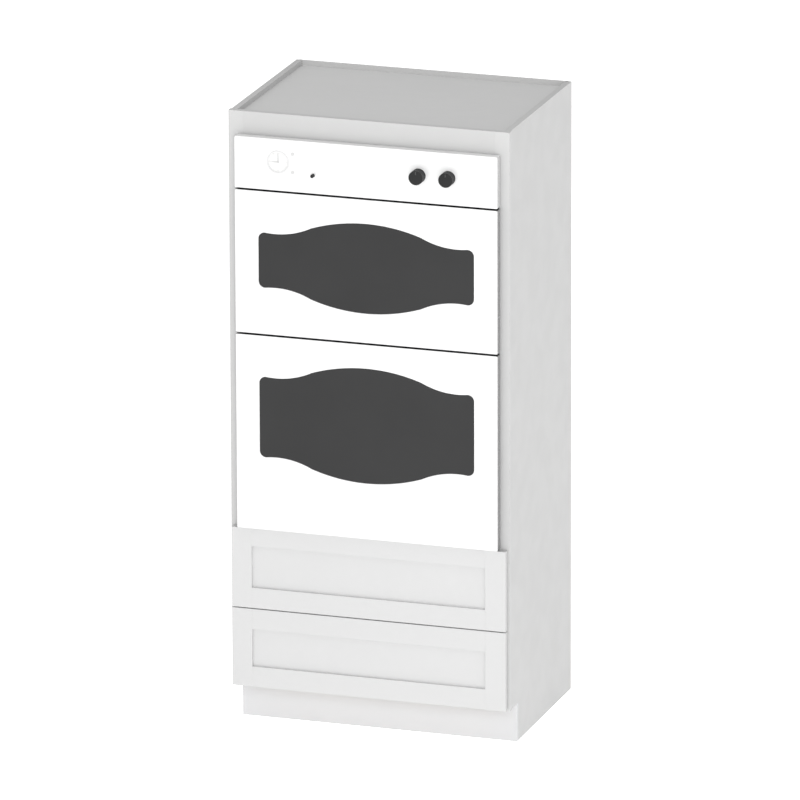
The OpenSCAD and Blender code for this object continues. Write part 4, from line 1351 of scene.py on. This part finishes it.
@dataclass
class PressedSheet:
    """A tray pressed from sheet, with a hole in its face and its rim turned back.

    A column of points runs along a ray from the hole's middle: up the hole's return, over its
    rolled lip, across the flat face, over the rolled rim and back along the wall. The supports are
    how many radii beyond a round its support row lies, and a shade is how far the wall on that side
    goes to the wall colour of the finish, which is painted shade for the dark gaps and dim walls.
    """

    outer: Array
    hole: Array
    front: float
    hole_back: float
    wall_back: float
    lip: float = 1.4 * MM
    rim: float = 1.4 * MM
    lip_support: float = 1.6
    rim_support: float = 1.3
    wall_support: float = 2.0
    nearest: float = 0.003
    steps: int = 4
    hole_steps: int = 40
    # Painted shade: how far the side, top and foot walls darken to the finish's wall colour.
    side_shade: float = 0.0
    top_shade: float = 0.0
    foot_shade: float = 0.0
    extra: tuple[float, ...] = ()
    holes: tuple[Triple, ...] = ()

    def angles(self) -> Array:
        """The rays through each point of the outer outline, the extra places and the hole's points.

        A point of the hole gets no ray of its own where another ray already passes close to it.

        Returns:
            The rays' angles in order.
        """
        rays = np.concatenate([np.arctan2(self.outer[:, 1], self.outer[:, 0]), self.extra])
        own = np.arctan2(self.hole[:, 1], self.hole[:, 0])
        far = np.abs(own[:, None] - rays).min(axis=1) > self.nearest
        return np.unique(np.round(np.concatenate([rays, own[far]]), 5))

    def build(self, middle: tuple[float, float]) -> tuple[Surface, int, int]:
        """Makes the sheet.

        Args:
            middle: X and Z of the point that the outlines are drawn about.

        Returns:
            The surface, its number of rows and the row at which the wall starts.
        """
        rays = self.angles()
        ring = np.stack([np.cos(rays), np.sin(rays)], axis=1)
        outer = ring * ray_lengths(self.outer, rays)[:, None]
        hole = ring * ray_lengths(self.hole, rays)[:, None]
        out_of_hole, out_of_rim = outline_normals(hole), outline_normals(outer)
        turn = np.linspace(0, math.pi / 2, self.steps + 1)
        rows = [(hole, 0 * out_of_hole, self.hole_back)]
        rows += [(hole, out_of_hole * self.lip * (1 - math.cos(a)),
                  self.front + self.lip * (1 - math.sin(a))) for a in turn]
        rows.append((hole, out_of_hole * self.lip * self.lip_support, self.front))
        rows.append((outer, -out_of_rim * self.rim * self.rim_support, self.front))
        rows += [(outer, -out_of_rim * self.rim * (1 - math.sin(a)),
                  self.front + self.rim * (1 - math.cos(a))) for a in turn]
        wall = len(rows) - 1
        rows.append((outer, 0 * out_of_rim, self.front + self.rim * self.wall_support))
        rows.append((outer, 0 * out_of_rim, self.wall_back))
        count = len(rays)
        points = np.zeros((len(rows), count, 3))
        for index, (base, shift, depth) in enumerate(rows):
            points[index, :, 0] = base[:, 0] + shift[:, 0] + middle[0]
            points[index, :, 2] = base[:, 1] + shift[:, 1] + middle[1]
            points[index, :, 1] = depth
        edge = np.zeros((len(rows), count))
        edge[2:self.steps + 1] = 1.0
        edge[wall - self.steps + 1:wall] = 1.0
        # Painted shade: each column's wall darkens by the shade of the side it faces. It starts one
        # row before the wall, or in the rim's round where the shade is full.
        tone = np.where(out_of_rim[:, 1] > FACES_UP, self.top_shade,
                        np.where(out_of_rim[:, 1] < -FACES_UP, self.foot_shade, self.side_shade))
        start = wall - np.where(tone < 1.0, 1, self.steps - 1)
        painted_wall_shade = (np.arange(len(rows))[:, None] >= start) * tone
        faces = [quad[::-1] for quad in grid_faces(len(rows), count, round_columns=True)]
        sheet = Surface(points.reshape(-1, 3), faces, edge.ravel(), painted_wall_shade.ravel())
        return self._pierced(sheet, self.steps + 2, count), len(rows), wall

    def _pierced(self, sheet: Surface, row: int, count: int) -> Surface:
        """Cuts the round holes in the flat face.

        The quads between a row and the next give way to the Delaunay triangles of both rows and
        of a circle round each hole, less the triangles whose middle lies in one of the openings.

        Args:
            sheet: The sheet without the round holes.
            row: The last row round the big hole.
            count: The number of points in a row.

        Returns:
            The sheet with its holes, whose walls come with its thickness.
        """
        if not self.holes:
            return sheet
        loops = [sheet.points[(row + step) * count:(row + step + 1) * count, ::2]
                 for step in (0, 1)]
        loops += [circle((x, z), radius, self.hole_steps) for x, z, radius in self.holes]
        flat = np.vstack(loops)
        ends = np.cumsum([len(loop) for loop in loops])
        sides = []
        for loop, end in zip(loops, ends):
            ring = np.arange(end - len(loop), end)
            sides += np.stack([ring, np.roll(ring, -1)], axis=1).tolist()
        _, _, triangles, origins, _, _ = geometry.delaunay_2d_cdt(
            [Vector(place) for place in flat.tolist()], sides, [], ALL_TRIANGLES, SAME_POINT)
        source = np.array([places[0] for places in origins])
        corners = source[np.array(triangles)]
        middles = flat[corners].mean(axis=1)
        kept = inside(middles, loops[1])
        for opening in [loops[0]] + loops[2:]:
            kept &= ~inside(middles, opening)
        added = np.full((len(flat) - 2 * count, 3), self.front)
        added[:, ::2] = flat[2 * count:]
        index = np.arange(len(flat)) + np.where(np.arange(len(flat)) < 2 * count, row * count,
                                                len(sheet.points) - 2 * count)
        faces = sheet.faces[:row * count] + sheet.faces[(row + 1) * count:]
        faces += [tuple(face) for face in index[corners[kept]].tolist()]
        none = np.zeros(len(added))
        return Surface(np.vstack([sheet.points, added]), faces,
                       np.concatenate([sheet.edge, none]), np.concatenate([sheet.wall, none]))


def thicken(piece: bpy.types.Object, thickness: float) -> None:
    """Gives a sheet its thickness, inwards from the face that is drawn.

    Args:
        piece: The sheet.
        thickness: Its thickness.
    """
    solid = piece.modifiers.new("sheet", "SOLIDIFY")
    solid.thickness = thickness
    solid.offset = -1.0
    solid.use_even_offset = False
    solid.use_quality_normals = True


@dataclass
class OvenDoor:
    """A drop-down door: pressed skin, dark window, liner, inner glass and hinge cheeks."""

    level: Level
    window_drop: float = 124.3 * MM
    window_side: float = 70 * MM
    heel: float = 8 * MM
    corner: float = 3.4 * MM
    skin: float = 1.2 * MM
    slot_half: float = 4.5 * MM
    slot_x: float = 340 * MM
    pane_depth: float = 1.9 * MM

    def build(self) -> None:
        """Makes the skin, and dresses or eases the pieces inside it."""
        name = self.level.value
        node = f"{name}_door_skin"
        low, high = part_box(node)
        pane_low, pane_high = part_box(f"{name}_door_window")
        middle = (0.0, (pane_low.z + pane_high.z) / 2)
        shoulder = high.z - self.window_drop
        window = ArchedWindow(high.x - low.x - 2 * self.window_side, 2 * (shoulder - middle[1]))
        foot = low.z - middle[1]
        corners = rectangle(low.x, foot, high.x, high.z - middle[1])
        outer = round_outline(corners, [self.corner] * 4, steps=4)
        slots = [side * self.slot_x + edge for side in (-1, 1)
                 for edge in (-self.slot_half, self.slot_half)]
        # Painted shade on the walls: full on the top wall and the upper door's foot, for the dark
        # gaps, a little on the lower door's foot. The sides' grey is partly two-tone paint, partly
        # painted shade.
        sheet = PressedSheet(outer, window.outline(), low.y, low.y + self.pane_depth, high.y,
                             side_shade=0.75, top_shade=1.0,
                             foot_shade=1.0 if self.level is Level.UPPER else 0.1,
                             extra=tuple(math.atan2(foot, x) for x in slots))
        surface, rows, wall = sheet.build(middle)
        self._turn_heel(surface, rows, low, high)
        surface = self._cut_slots(surface, rows, low, wall)
        skin = add_piece(f"{name}_door_shell", surface.merged(), body_of(node), DOOR_ENAMEL,
                         (node,))
        thicken(skin, self.skin)
        dress(f"{name}_door_window", WINDOW)
        EasedCopy(f"{name}_door_liner", LINER_ENAMEL, "liner_enamel", ease=0.5 * MM).build()
        EasedCopy(f"{name}_door_glass", INNER_GLASS, "inner_glass", ease=0.3 * MM).build()
        EasedCopy(f"{name}_door_hinges", HINGE, "hinge_steel", ease=0.3 * MM).build()

    def _turn_heel(self, surface: Surface, rows: int, low: Vector, high: Vector) -> None:
        """Keeps the back of the wall off the heel's round.

        Below the heel's radius the wall ends at y = back - h + sqrt(h^2 - (h - z)^2).

        Args:
            surface: The skin, whose last two rows of points are changed.
            rows: Its number of rows.
            low: The skin's lowest corner.
            high: Its highest corner.
        """
        points = surface.points.reshape(rows, -1, 3)
        rise = np.clip(points[-1, :, 2] - low.z, 0, self.heel)
        reach = np.sqrt(self.heel ** 2 - (self.heel - rise) ** 2)
        points[-1, :, 1] = high.y - self.heel + reach
        points[-2, :, 1] = np.minimum(points[-2, :, 1], points[-1, :, 1])

    def _cut_slots(self, surface: Surface, rows: int, low: Vector, wall: int) -> Surface:
        """Leaves out the foot of the wall where the hinge arms pass.

        Args:
            surface: The skin.
            rows: Its number of rows.
            low: The skin's lowest corner.
            wall: The row at which its wall starts.

        Returns:
            The skin with its two slots.
        """
        columns = len(surface.points) // rows
        centres = np.array([surface.points[list(face)].mean(axis=0) for face in surface.faces])
        row = np.arange(len(surface.faces)) // columns
        at_arm = np.abs(np.abs(centres[:, 0]) - self.slot_x) < self.slot_half
        foot = (centres[:, 2] < low.z + 0.1 * MM) & (row >= wall)
        kept = [face for face, drop in zip(surface.faces, at_arm & foot) if not drop]
        return Surface(surface.points, kept, surface.edge, surface.wall)


# ---------------------------------------------------------------- oven body


@dataclass
class Gaskets:
    """Soft gaskets with a round nose, one round the mouth of each cavity."""

    node: str = "door_gaskets"
    width: float = 10 * MM
    corner: float = 28 * MM
    steps: int = 8

    def build(self) -> None:
        """Carries a D-shaped section round each ring."""
        rings = [self._ring(low, high) for low, high in solid_boxes(self.node)]
        add_piece("cavity_gaskets", joined(rings), body_of(self.node), GASKET,
                  (self.node,))

    def _ring(self, low: Array, high: Array) -> Surface:
        """One ring, whose section is a half ellipse of the ring's width and depth.

        Args:
            low: The ring's lowest corner.
            high: Its highest corner.

        Returns:
            The closed surface.
        """
        corners = rectangle(low[0], low[2], high[0], high[2])
        outline = round_outline(corners, [self.corner] * 4, steps=10)
        inward = -outline_normals(outline)
        angle = np.linspace(0, math.pi, self.steps + 1)
        across = self.width / 2 * (1 - np.cos(angle))
        depth = high[1] - (high[1] - low[1]) * np.sin(angle)
        points = np.stack([outline[:, 0] + across[:, None] * inward[:, 0],
                           np.repeat(depth[:, None], len(outline), axis=1),
                           outline[:, 1] + across[:, None] * inward[:, 1]], axis=-1)
        faces = grid_faces(len(angle), len(outline), round_rows=True, round_columns=True)
        return Surface(points.reshape(-1, 3), faces, np.zeros(points.size // 3))


@dataclass
class Racks:
    """Wire racks: a bent rim of heavy wire with fine bars welded on."""

    node: str = "oven_racks"
    rim: float = 2.5 * MM
    bar: float = 1.6 * MM
    pitch: float = 26 * MM
    corner: float = 9 * MM
    ties: tuple[float, float] = (0.34, 0.66)

    def build(self) -> None:
        """Makes both racks in place of their node."""
        wires: list[Surface] = []
        for low, high in solid_boxes(self.node):
            wires += self._rack(low, high)
        add_piece("wire_racks", joined(wires), body_of(self.node), CHROME,
                  (self.node,))

    def _rack(self, low: Array, high: Array) -> list[Surface]:
        """The wires of one rack, with bar i at x = (i - n / 2) pitch and two ties across.

        Args:
            low: The rack's lowest corner.
            high: Its highest corner.

        Returns:
            One surface for each wire.
        """
        level = (low[2] + high[2]) / 2
        x, front, back = high[0] - self.rim, low[1] + self.rim, high[1] - self.rim
        rim = round_outline(rectangle(-x, front, x, back), [self.corner] * 4)
        wires = [flat_tube(rim, level, self.rim, sides=12, closed=True)]
        count = math.floor((2 * x - self.pitch) / self.pitch)
        for index in range(count + 1):
            place = (index - count / 2) * self.pitch
            path = np.array([[place, front], [place, (front + back) / 2], [place, back]])
            wires.append(flat_tube(path, level, self.bar))
        for share in self.ties:
            y = front + (back - front) * share
            wires.append(flat_tube(np.array([[-x, y], [0, y], [x, y]]), level, self.bar))
        return wires


@dataclass
class Lamps:
    """Glass domes on their collars, high on each cavity's back wall."""

    node: str = "oven_lamps"
    collar: float = 4 * MM
    chamfer: float = 1.2 * MM
    dome: float = 0.76
    steps: int = 8

    def build(self) -> None:
        """Turns each lamp in place of its node."""
        lamps = []
        for low, high in solid_boxes(self.node):
            centre = Vector(((low[0] + high[0]) / 2, high[1], (low[2] + high[2]) / 2))
            radius, depth = (high[0] - low[0]) / 2, high[1] - low[1]
            dome = radius * self.dome
            profile = [(0.0, 0.0), (radius, 0.0), (radius, self.collar - self.chamfer),
                       (radius - self.chamfer, self.collar), (dome, self.collar)]
            collar_edge = len(profile) - 2
            turn = np.linspace(0, math.pi / 2, self.steps + 1)[1:]
            profile += [(dome * math.cos(a), self.collar + (depth - self.collar) * math.sin(a))
                        for a in turn]
            lamps.append(turned(profile, centre, segments=48, edges=(collar_edge,)))
        add_piece("lamp_domes", joined(lamps), body_of(self.node), LAMP,
                  (self.node,))


@dataclass
class OvenBody:
    """Everything of the oven that stays still behind its doors."""

    metal: tuple[EasedCopy, ...] = (
        EasedCopy("oven_case", SHEET, "case_steel"),
        EasedCopy("front_trim", TRIM_ENAMEL, "trim_enamel", ease=0.3 * MM),
        EasedCopy("lower_cavity", CAVITY_ENAMEL, "cavity_enamel"),
        EasedCopy("upper_cavity", CAVITY_ENAMEL, "cavity_enamel"),
        EasedCopy("heating_elements", SHEATH, "element_sheath", ease=0.0),
        EasedCopy("fixing_screws", SCREW, "screw_steel", ease=0.15 * MM),
        EasedCopy("hinge_brackets", HINGE, "hinge_steel", ease=0.3 * MM),
        EasedCopy("slide_outer", ZINC, "slide_steel", ease=0.2 * MM),
    )

    def build(self) -> None:
        """Eases the metal pieces, and makes the gaskets, racks and lamps."""
        for piece in self.metal:
            piece.build()
        Gaskets().build()
        Racks().build()
        Lamps().build()


# ---------------------------------------------------------------- controls


@dataclass
class Knob:
    """A knob with fine flutes round its grip, a flat cap, a pointer line and its spindle."""

    node: str
    rim: float = 0.8 * MM
    wall: float = 4 * MM
    hollow: float = 7 * MM
    collar: float = 4 * MM
    flutes: int = 48
    flute_steps: int = 4
    flute_depth: float = 0.45 * MM
    spindle: float = 3 * MM
    behind: float = 18.5 * MM
    spindle_length: float = 24.5 * MM
    raised: float = 0.15 * MM
    pointer_half: float = 0.9 * MM
    pointer_depth: float = 1 * MM
    pointer_reach: tuple[float, float] = (0.45, 0.86)

    def build(self) -> None:
        """Turns the knob, lays its pointer on the cap and puts its spindle in.

        The wall gets rows of points of its own, which the flutes start and end on.
        """
        low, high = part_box(self.node)
        radius = (high.x - low.x) / 2
        back = high.y - self.behind
        x, z = middle_of(low, high)
        centre = Vector((x, back, z))
        length = back - low.y - self.raised
        profile = rounded_profile(
            [(0, self.hollow), (radius - self.wall, self.hollow), (radius - self.wall, 0),
             (radius, 0), (radius, length), (0, length)],
            [0, 0.4 * MM, 0.6 * MM, self.rim])
        cap = length - 2 * self.rim
        levels = [(radius, self.collar * 0.9)]
        levels += [(radius, level) for level in np.linspace(self.collar, cap, 4)]
        at = next(row for row, (_, height) in enumerate(profile) if height > cap)
        profile = profile[:at] + levels + profile[at:]
        rim_middle = at + len(levels) + 2
        knob = turned(profile, centre, self.flutes * self.flute_steps, self.flutes,
                      self.flute_depth, (self.collar - MICRON, cap + MICRON), (rim_middle,))
        near, far = (centre.z + radius * share for share in self.pointer_reach)
        pointer = eased_box(np.array([centre.x - self.pointer_half, low.y, near]),
                            np.array([centre.x + self.pointer_half, low.y + self.pointer_depth,
                                      far]), ease=0.1 * MM)
        body = body_of(self.node)
        add_piece(f"{self.node}_grip", knob, body, KNOB, (self.node,))
        add_piece(f"{self.node}_pointer", pointer, body, POINTER)
        tip = self.spindle_length - self.behind
        stem = turned([(0, -self.behind), (self.spindle, -self.behind), (self.spindle, tip),
                       (0, tip)], centre, segments=32)
        add_piece(f"{self.node}_spindle", stem, body, SCREW)


@dataclass
class PushButton:
    """A push button with a domed face, its retaining collar and its stem."""

    node: str
    finish: Finish
    slot: str
    dome: float = 0.5 * MM
    lip: float = 1.5 * MM
    collar: float = 1.0 * MM
    stem: float = 2.0 * MM

    def build(self) -> None:
        """Turns the button from its stem to its face."""
        low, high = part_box(self.node)
        flange = (high.x - low.x) / 2
        radius = flange - self.lip
        x, z = middle_of(low, high)
        centre = Vector((x, high.y, z))
        length = high.y - low.y
        foot = self.stem + self.collar
        profile = rounded_profile(
            [(0, 0), (radius / 2, 0), (radius / 2, self.stem), (flange, self.stem),
             (flange, foot), (radius, foot), (radius, length - self.dome), (0, length)],
            [0.2 * MM, 0, 0.1 * MM, 0.1 * MM, 0, 0.7 * MM])
        button = turned(profile, centre, segments=48)
        add_piece(f"{self.node}_cap", button, body_of(self.node), self.finish,
                  (self.node,))


@dataclass
class Clock:
    """The clock: bezel and dial, hour marks, lens and hands."""

    bezel: float = 3 * MM
    barrel: float = 1.5 * MM
    hand_gap: float = 0.4 * MM
    arbor: float = 1 * MM
    arbor_length: float = 2.4 * MM
    ticks: int = 12
    tick_inset: float = 2 * MM
    tick_size: tuple[float, float] = (3 * MM, 0.35 * MM)
    quarter_size: tuple[float, float] = (5 * MM, 0.55 * MM)

    def build(self) -> None:
        """Turns the dial and lays twelve marks on it, longer at each quarter."""
        low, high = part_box("clock_dial")
        radius = (high.x - low.x) / 2
        x, z = middle_of(low, high)
        centre = Vector((x, high.y, z))
        length = high.y - low.y
        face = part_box("hour_hand")[1].y
        dial = high.y - face - self.hand_gap
        bore = radius - self.bezel - self.barrel
        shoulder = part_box("control_fascia")[0].y
        seat = high.y - shoulder
        profile = rounded_profile(
            [(0, 0), (radius - self.bezel, 0), (radius - self.bezel, seat), (radius, seat),
             (radius, length), (bore, length), (bore, dial), (self.arbor, dial),
             (self.arbor, dial + self.arbor_length), (0, dial + self.arbor_length)],
            [0, 0, 0, 0.6 * MM, 0.4 * MM, 0.1 * MM, 0, 0.1 * MM], steps=3)
        body = body_of("clock_dial")
        turning = turned(profile, centre, segments=96)
        away = np.hypot(turning.points[:, 0] - centre.x, turning.points[:, 2] - centre.z)
        raised = turning.points[:, 1] < high.y - dial - 0.3 * MM
        turning.wall = ((away > bore - 0.05 * MM) & raised).astype(float)
        add_piece("clock_dial_turned", turning, body, DIAL, ("clock_dial",))
        marks = []
        for index in range(self.ticks):
            size = self.tick_size if index % 3 else self.quarter_size
            marks.append(self._mark(centre, high.y - dial, bore, index * math.tau / self.ticks,
                                    *size))
        add_piece("clock_marks", joined(marks), body, MARKS)
        dress("clock_lens", LENS)
        dress("hour_hand", HAND)
        dress("minute_hand", HAND)

    def _mark(self, centre: Vector, level: float, bore: float, angle: float, length: float,
              half: float) -> Surface:
        """One raised hour mark, which is an eased box turned about the dial's middle.

        A point at x across and z up goes to (x cos a + z sin a, z cos a - x sin a).

        Args:
            centre: The dial's middle.
            level: Y of the dial's face.
            bore: The dial's radius.
            angle: How far round the mark is, from the top.
            length: Its length.
            half: Half of its width.

        Returns:
            The closed surface.
        """
        outer = bore - self.tick_inset
        plain = eased_box(np.array([-half, level - 0.15 * MM, outer - length]),
                          np.array([half, level + 0.1 * MM, outer]), ease=0.05 * MM, steps=1)
        cos, sin = math.cos(angle), math.sin(angle)
        x, z = plain.points[:, 0].copy(), plain.points[:, 2].copy()
        plain.points[:, 0] = centre.x + x * cos + z * sin
        plain.points[:, 2] = centre.z - x * sin + z * cos
        return plain


@dataclass
class ControlPanel:
    """The control panel's pressed front, its clock, knobs, buttons and inner works."""

    top_corner: float = 5 * MM
    bottom_corner: float = 3.4 * MM
    sheet: float = 1.2 * MM
    hole_gap: float = 0.4 * MM
    button_gap: float = 0.1 * MM
    spindle_gap: float = 1.0 * MM
    return_depth: float = 2.0 * MM

    def build(self) -> None:
        """Makes the panel round the clock's barrel, and its controls."""
        low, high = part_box("control_fascia")
        dial_low, dial_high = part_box("clock_dial")
        x, z = middle_of(dial_low, dial_high)
        hole = (dial_high.x - dial_low.x) / 2 - Clock.bezel + self.hole_gap
        ring = circle((0.0, 0.0), hole, steps=96)
        outer = round_outline(rectangle(low.x - x, low.z - z, high.x - x, high.z - z),
                              [self.bottom_corner] * 2 + [self.top_corner] * 2)
        # Painted shade on the fascia's walls: full at its foot, for the gap over the upper door,
        # some on its sides and a little on its top, where less light falls.
        sheet = PressedSheet(outer, ring, low.y, low.y + self.return_depth, high.y,
                             side_shade=0.37, top_shade=0.1, foot_shade=1.0,
                             holes=self._holes())
        surface, _, _ = sheet.build((x, z))
        panel = add_piece("control_panel_front", surface.merged(), body_of("control_fascia"),
                          DOOR_ENAMEL, ("control_fascia",))
        thicken(panel, self.sheet)
        for node in ("function_knob", "temperature_knob"):
            Knob(node).build()
        PushButton("timer_button", KNOB, "knob_plastic").build()
        for node in ("clock_button_upper", "clock_button_lower"):
            PushButton(node, WHITE_BUTTON, "button_white", dome=0.3 * MM).build()
        Clock().build()
        dress("control_board", LACQUER)
        EasedCopy("selector_switches", SWITCH, "switch_plastic").build()

    def _holes(self) -> tuple[Triple, ...]:
        """The hole that each button and each spindle passes.

        Returns:
            X and Z of each hole's middle, and its radius.
        """
        holes = []
        for node in ("timer_button", "clock_button_upper", "clock_button_lower",
                     "function_knob", "temperature_knob"):
            low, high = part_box(node)
            radius = ((high.x - low.x) / 2 - PushButton.lip + self.button_gap
                      if "button" in node else Knob.spindle + self.spindle_gap)
            holes.append((*middle_of(low, high), radius))
        return tuple(holes)


# ---------------------------------------------------------------- studio


@dataclass
class Camera:
    """The photograph's camera, found by fitting straight edges of the unit."""

    place: Triple = (9.51984, -28.83715, 9.888996)
    azimuth: float = 18.2646
    elevation: float = 16.4348
    roll: float = -0.1831
    focal_pixels: float = 11020.64
    image_pixels: float = 800.0
    sensor: float = 36.0

    def build(self) -> None:
        """Aims the camera: forwards is (-sin a cos e, cos a cos e, -sin e)."""
        az, el, roll = map(math.radians, (self.azimuth, self.elevation, self.roll))
        forward = Vector((-math.sin(az) * math.cos(el), math.cos(az) * math.cos(el),
                          -math.sin(el)))
        level = Vector((math.cos(az), math.sin(az), 0))
        above = level.cross(forward)
        right = math.cos(roll) * level + math.sin(roll) * above
        up = -math.sin(roll) * level + math.cos(roll) * above
        data = bpy.data.cameras.new("camera")
        data.sensor_width = self.sensor
        data.lens = self.focal_pixels / self.image_pixels * self.sensor
        data.clip_start, data.clip_end = 1.0, 200.0
        camera = bpy.data.objects.new("camera", data)
        rows = Matrix((right, up, -forward)).transposed().to_4x4()
        camera.matrix_world = Matrix.Translation(self.place) @ rows
        bpy.context.scene.collection.objects.link(camera)
        bpy.context.scene.camera = camera


@dataclass
class SoftBox:
    """A square area light aimed at the unit."""

    name: str
    place: Triple
    target: Triple
    size: float
    power: float

    def build(self) -> None:
        """Hangs the light and turns it to its target."""
        data = bpy.data.lights.new(self.name, "AREA")
        data.shape = "SQUARE"
        data.size = self.size
        data.energy = self.power
        light = bpy.data.objects.new(self.name, data)
        light.visible_camera = False
        way = Vector(self.target) - Vector(self.place)
        light.matrix_world = (Matrix.Translation(self.place)
                              @ way.to_track_quat("-Z", "Y").to_matrix().to_4x4())
        bpy.context.scene.collection.objects.link(light)


@dataclass
class Studio:
    """A pale floor under even soft light."""

    reach: float = 60.0
    floor: Triple = (0.93, 0.93, 0.93)
    glow: float = 0.72
    ambient: float = 0.62
    lights: tuple[SoftBox, ...] = (
        SoftBox("top_softbox", (-0.5, -2.6, 7.0), (0, 0, 1.5), size=3.0, power=80.0),
        SoftBox("side_softbox", (5.6, -3.4, 0.9), (0, 0, 0.8), size=3.2, power=22.0),
        SoftBox("front_softbox", (2.3, -7.0, 3.0), (0, 0, 0.9), size=3.0, power=152.0),
    )

    def build(self) -> None:
        """Lays the floor, and lights the scene."""
        corners = self.reach * np.array([[-1, -1, 0], [1, -1, 0], [1, 1, 0], [-1, 1, 0]])
        mesh = bpy.data.meshes.new("floor")
        mesh.from_pydata(corners.tolist(), [], [(0, 1, 2, 3)])
        net = Net("floor")
        mesh.materials.append(net.surface(Base_Color=self.floor, Roughness=0.7,
                                          Specular_IOR_Level=0.2, Emission_Color=self.floor,
                                          Emission_Strength=self.glow))
        floor = bpy.data.objects.new("floor", mesh)
        bpy.context.scene.collection.objects.link(floor)
        world = bpy.data.worlds.new("studio")
        world.use_nodes = True
        world.node_tree.nodes["Background"].inputs["Color"].default_value = (1, 1, 1, 1)
        world.node_tree.nodes["Background"].inputs["Strength"].default_value = self.ambient
        bpy.context.scene.world = world
        bpy.context.scene.view_settings.view_transform = "Standard"
        for light in self.lights:
            light.build()


def main() -> None:
    """Builds the unit's pieces in order, then the studio."""
    Cabinet().build()
    for level in Level:
        Drawer(level).build()
        OvenDoor(level).build()
    OvenBody().build()
    ControlPanel().build()
    Studio().build()
    Camera().build()
    bpy.context.view_layer.update()


if __name__ == "__main__":
    main()
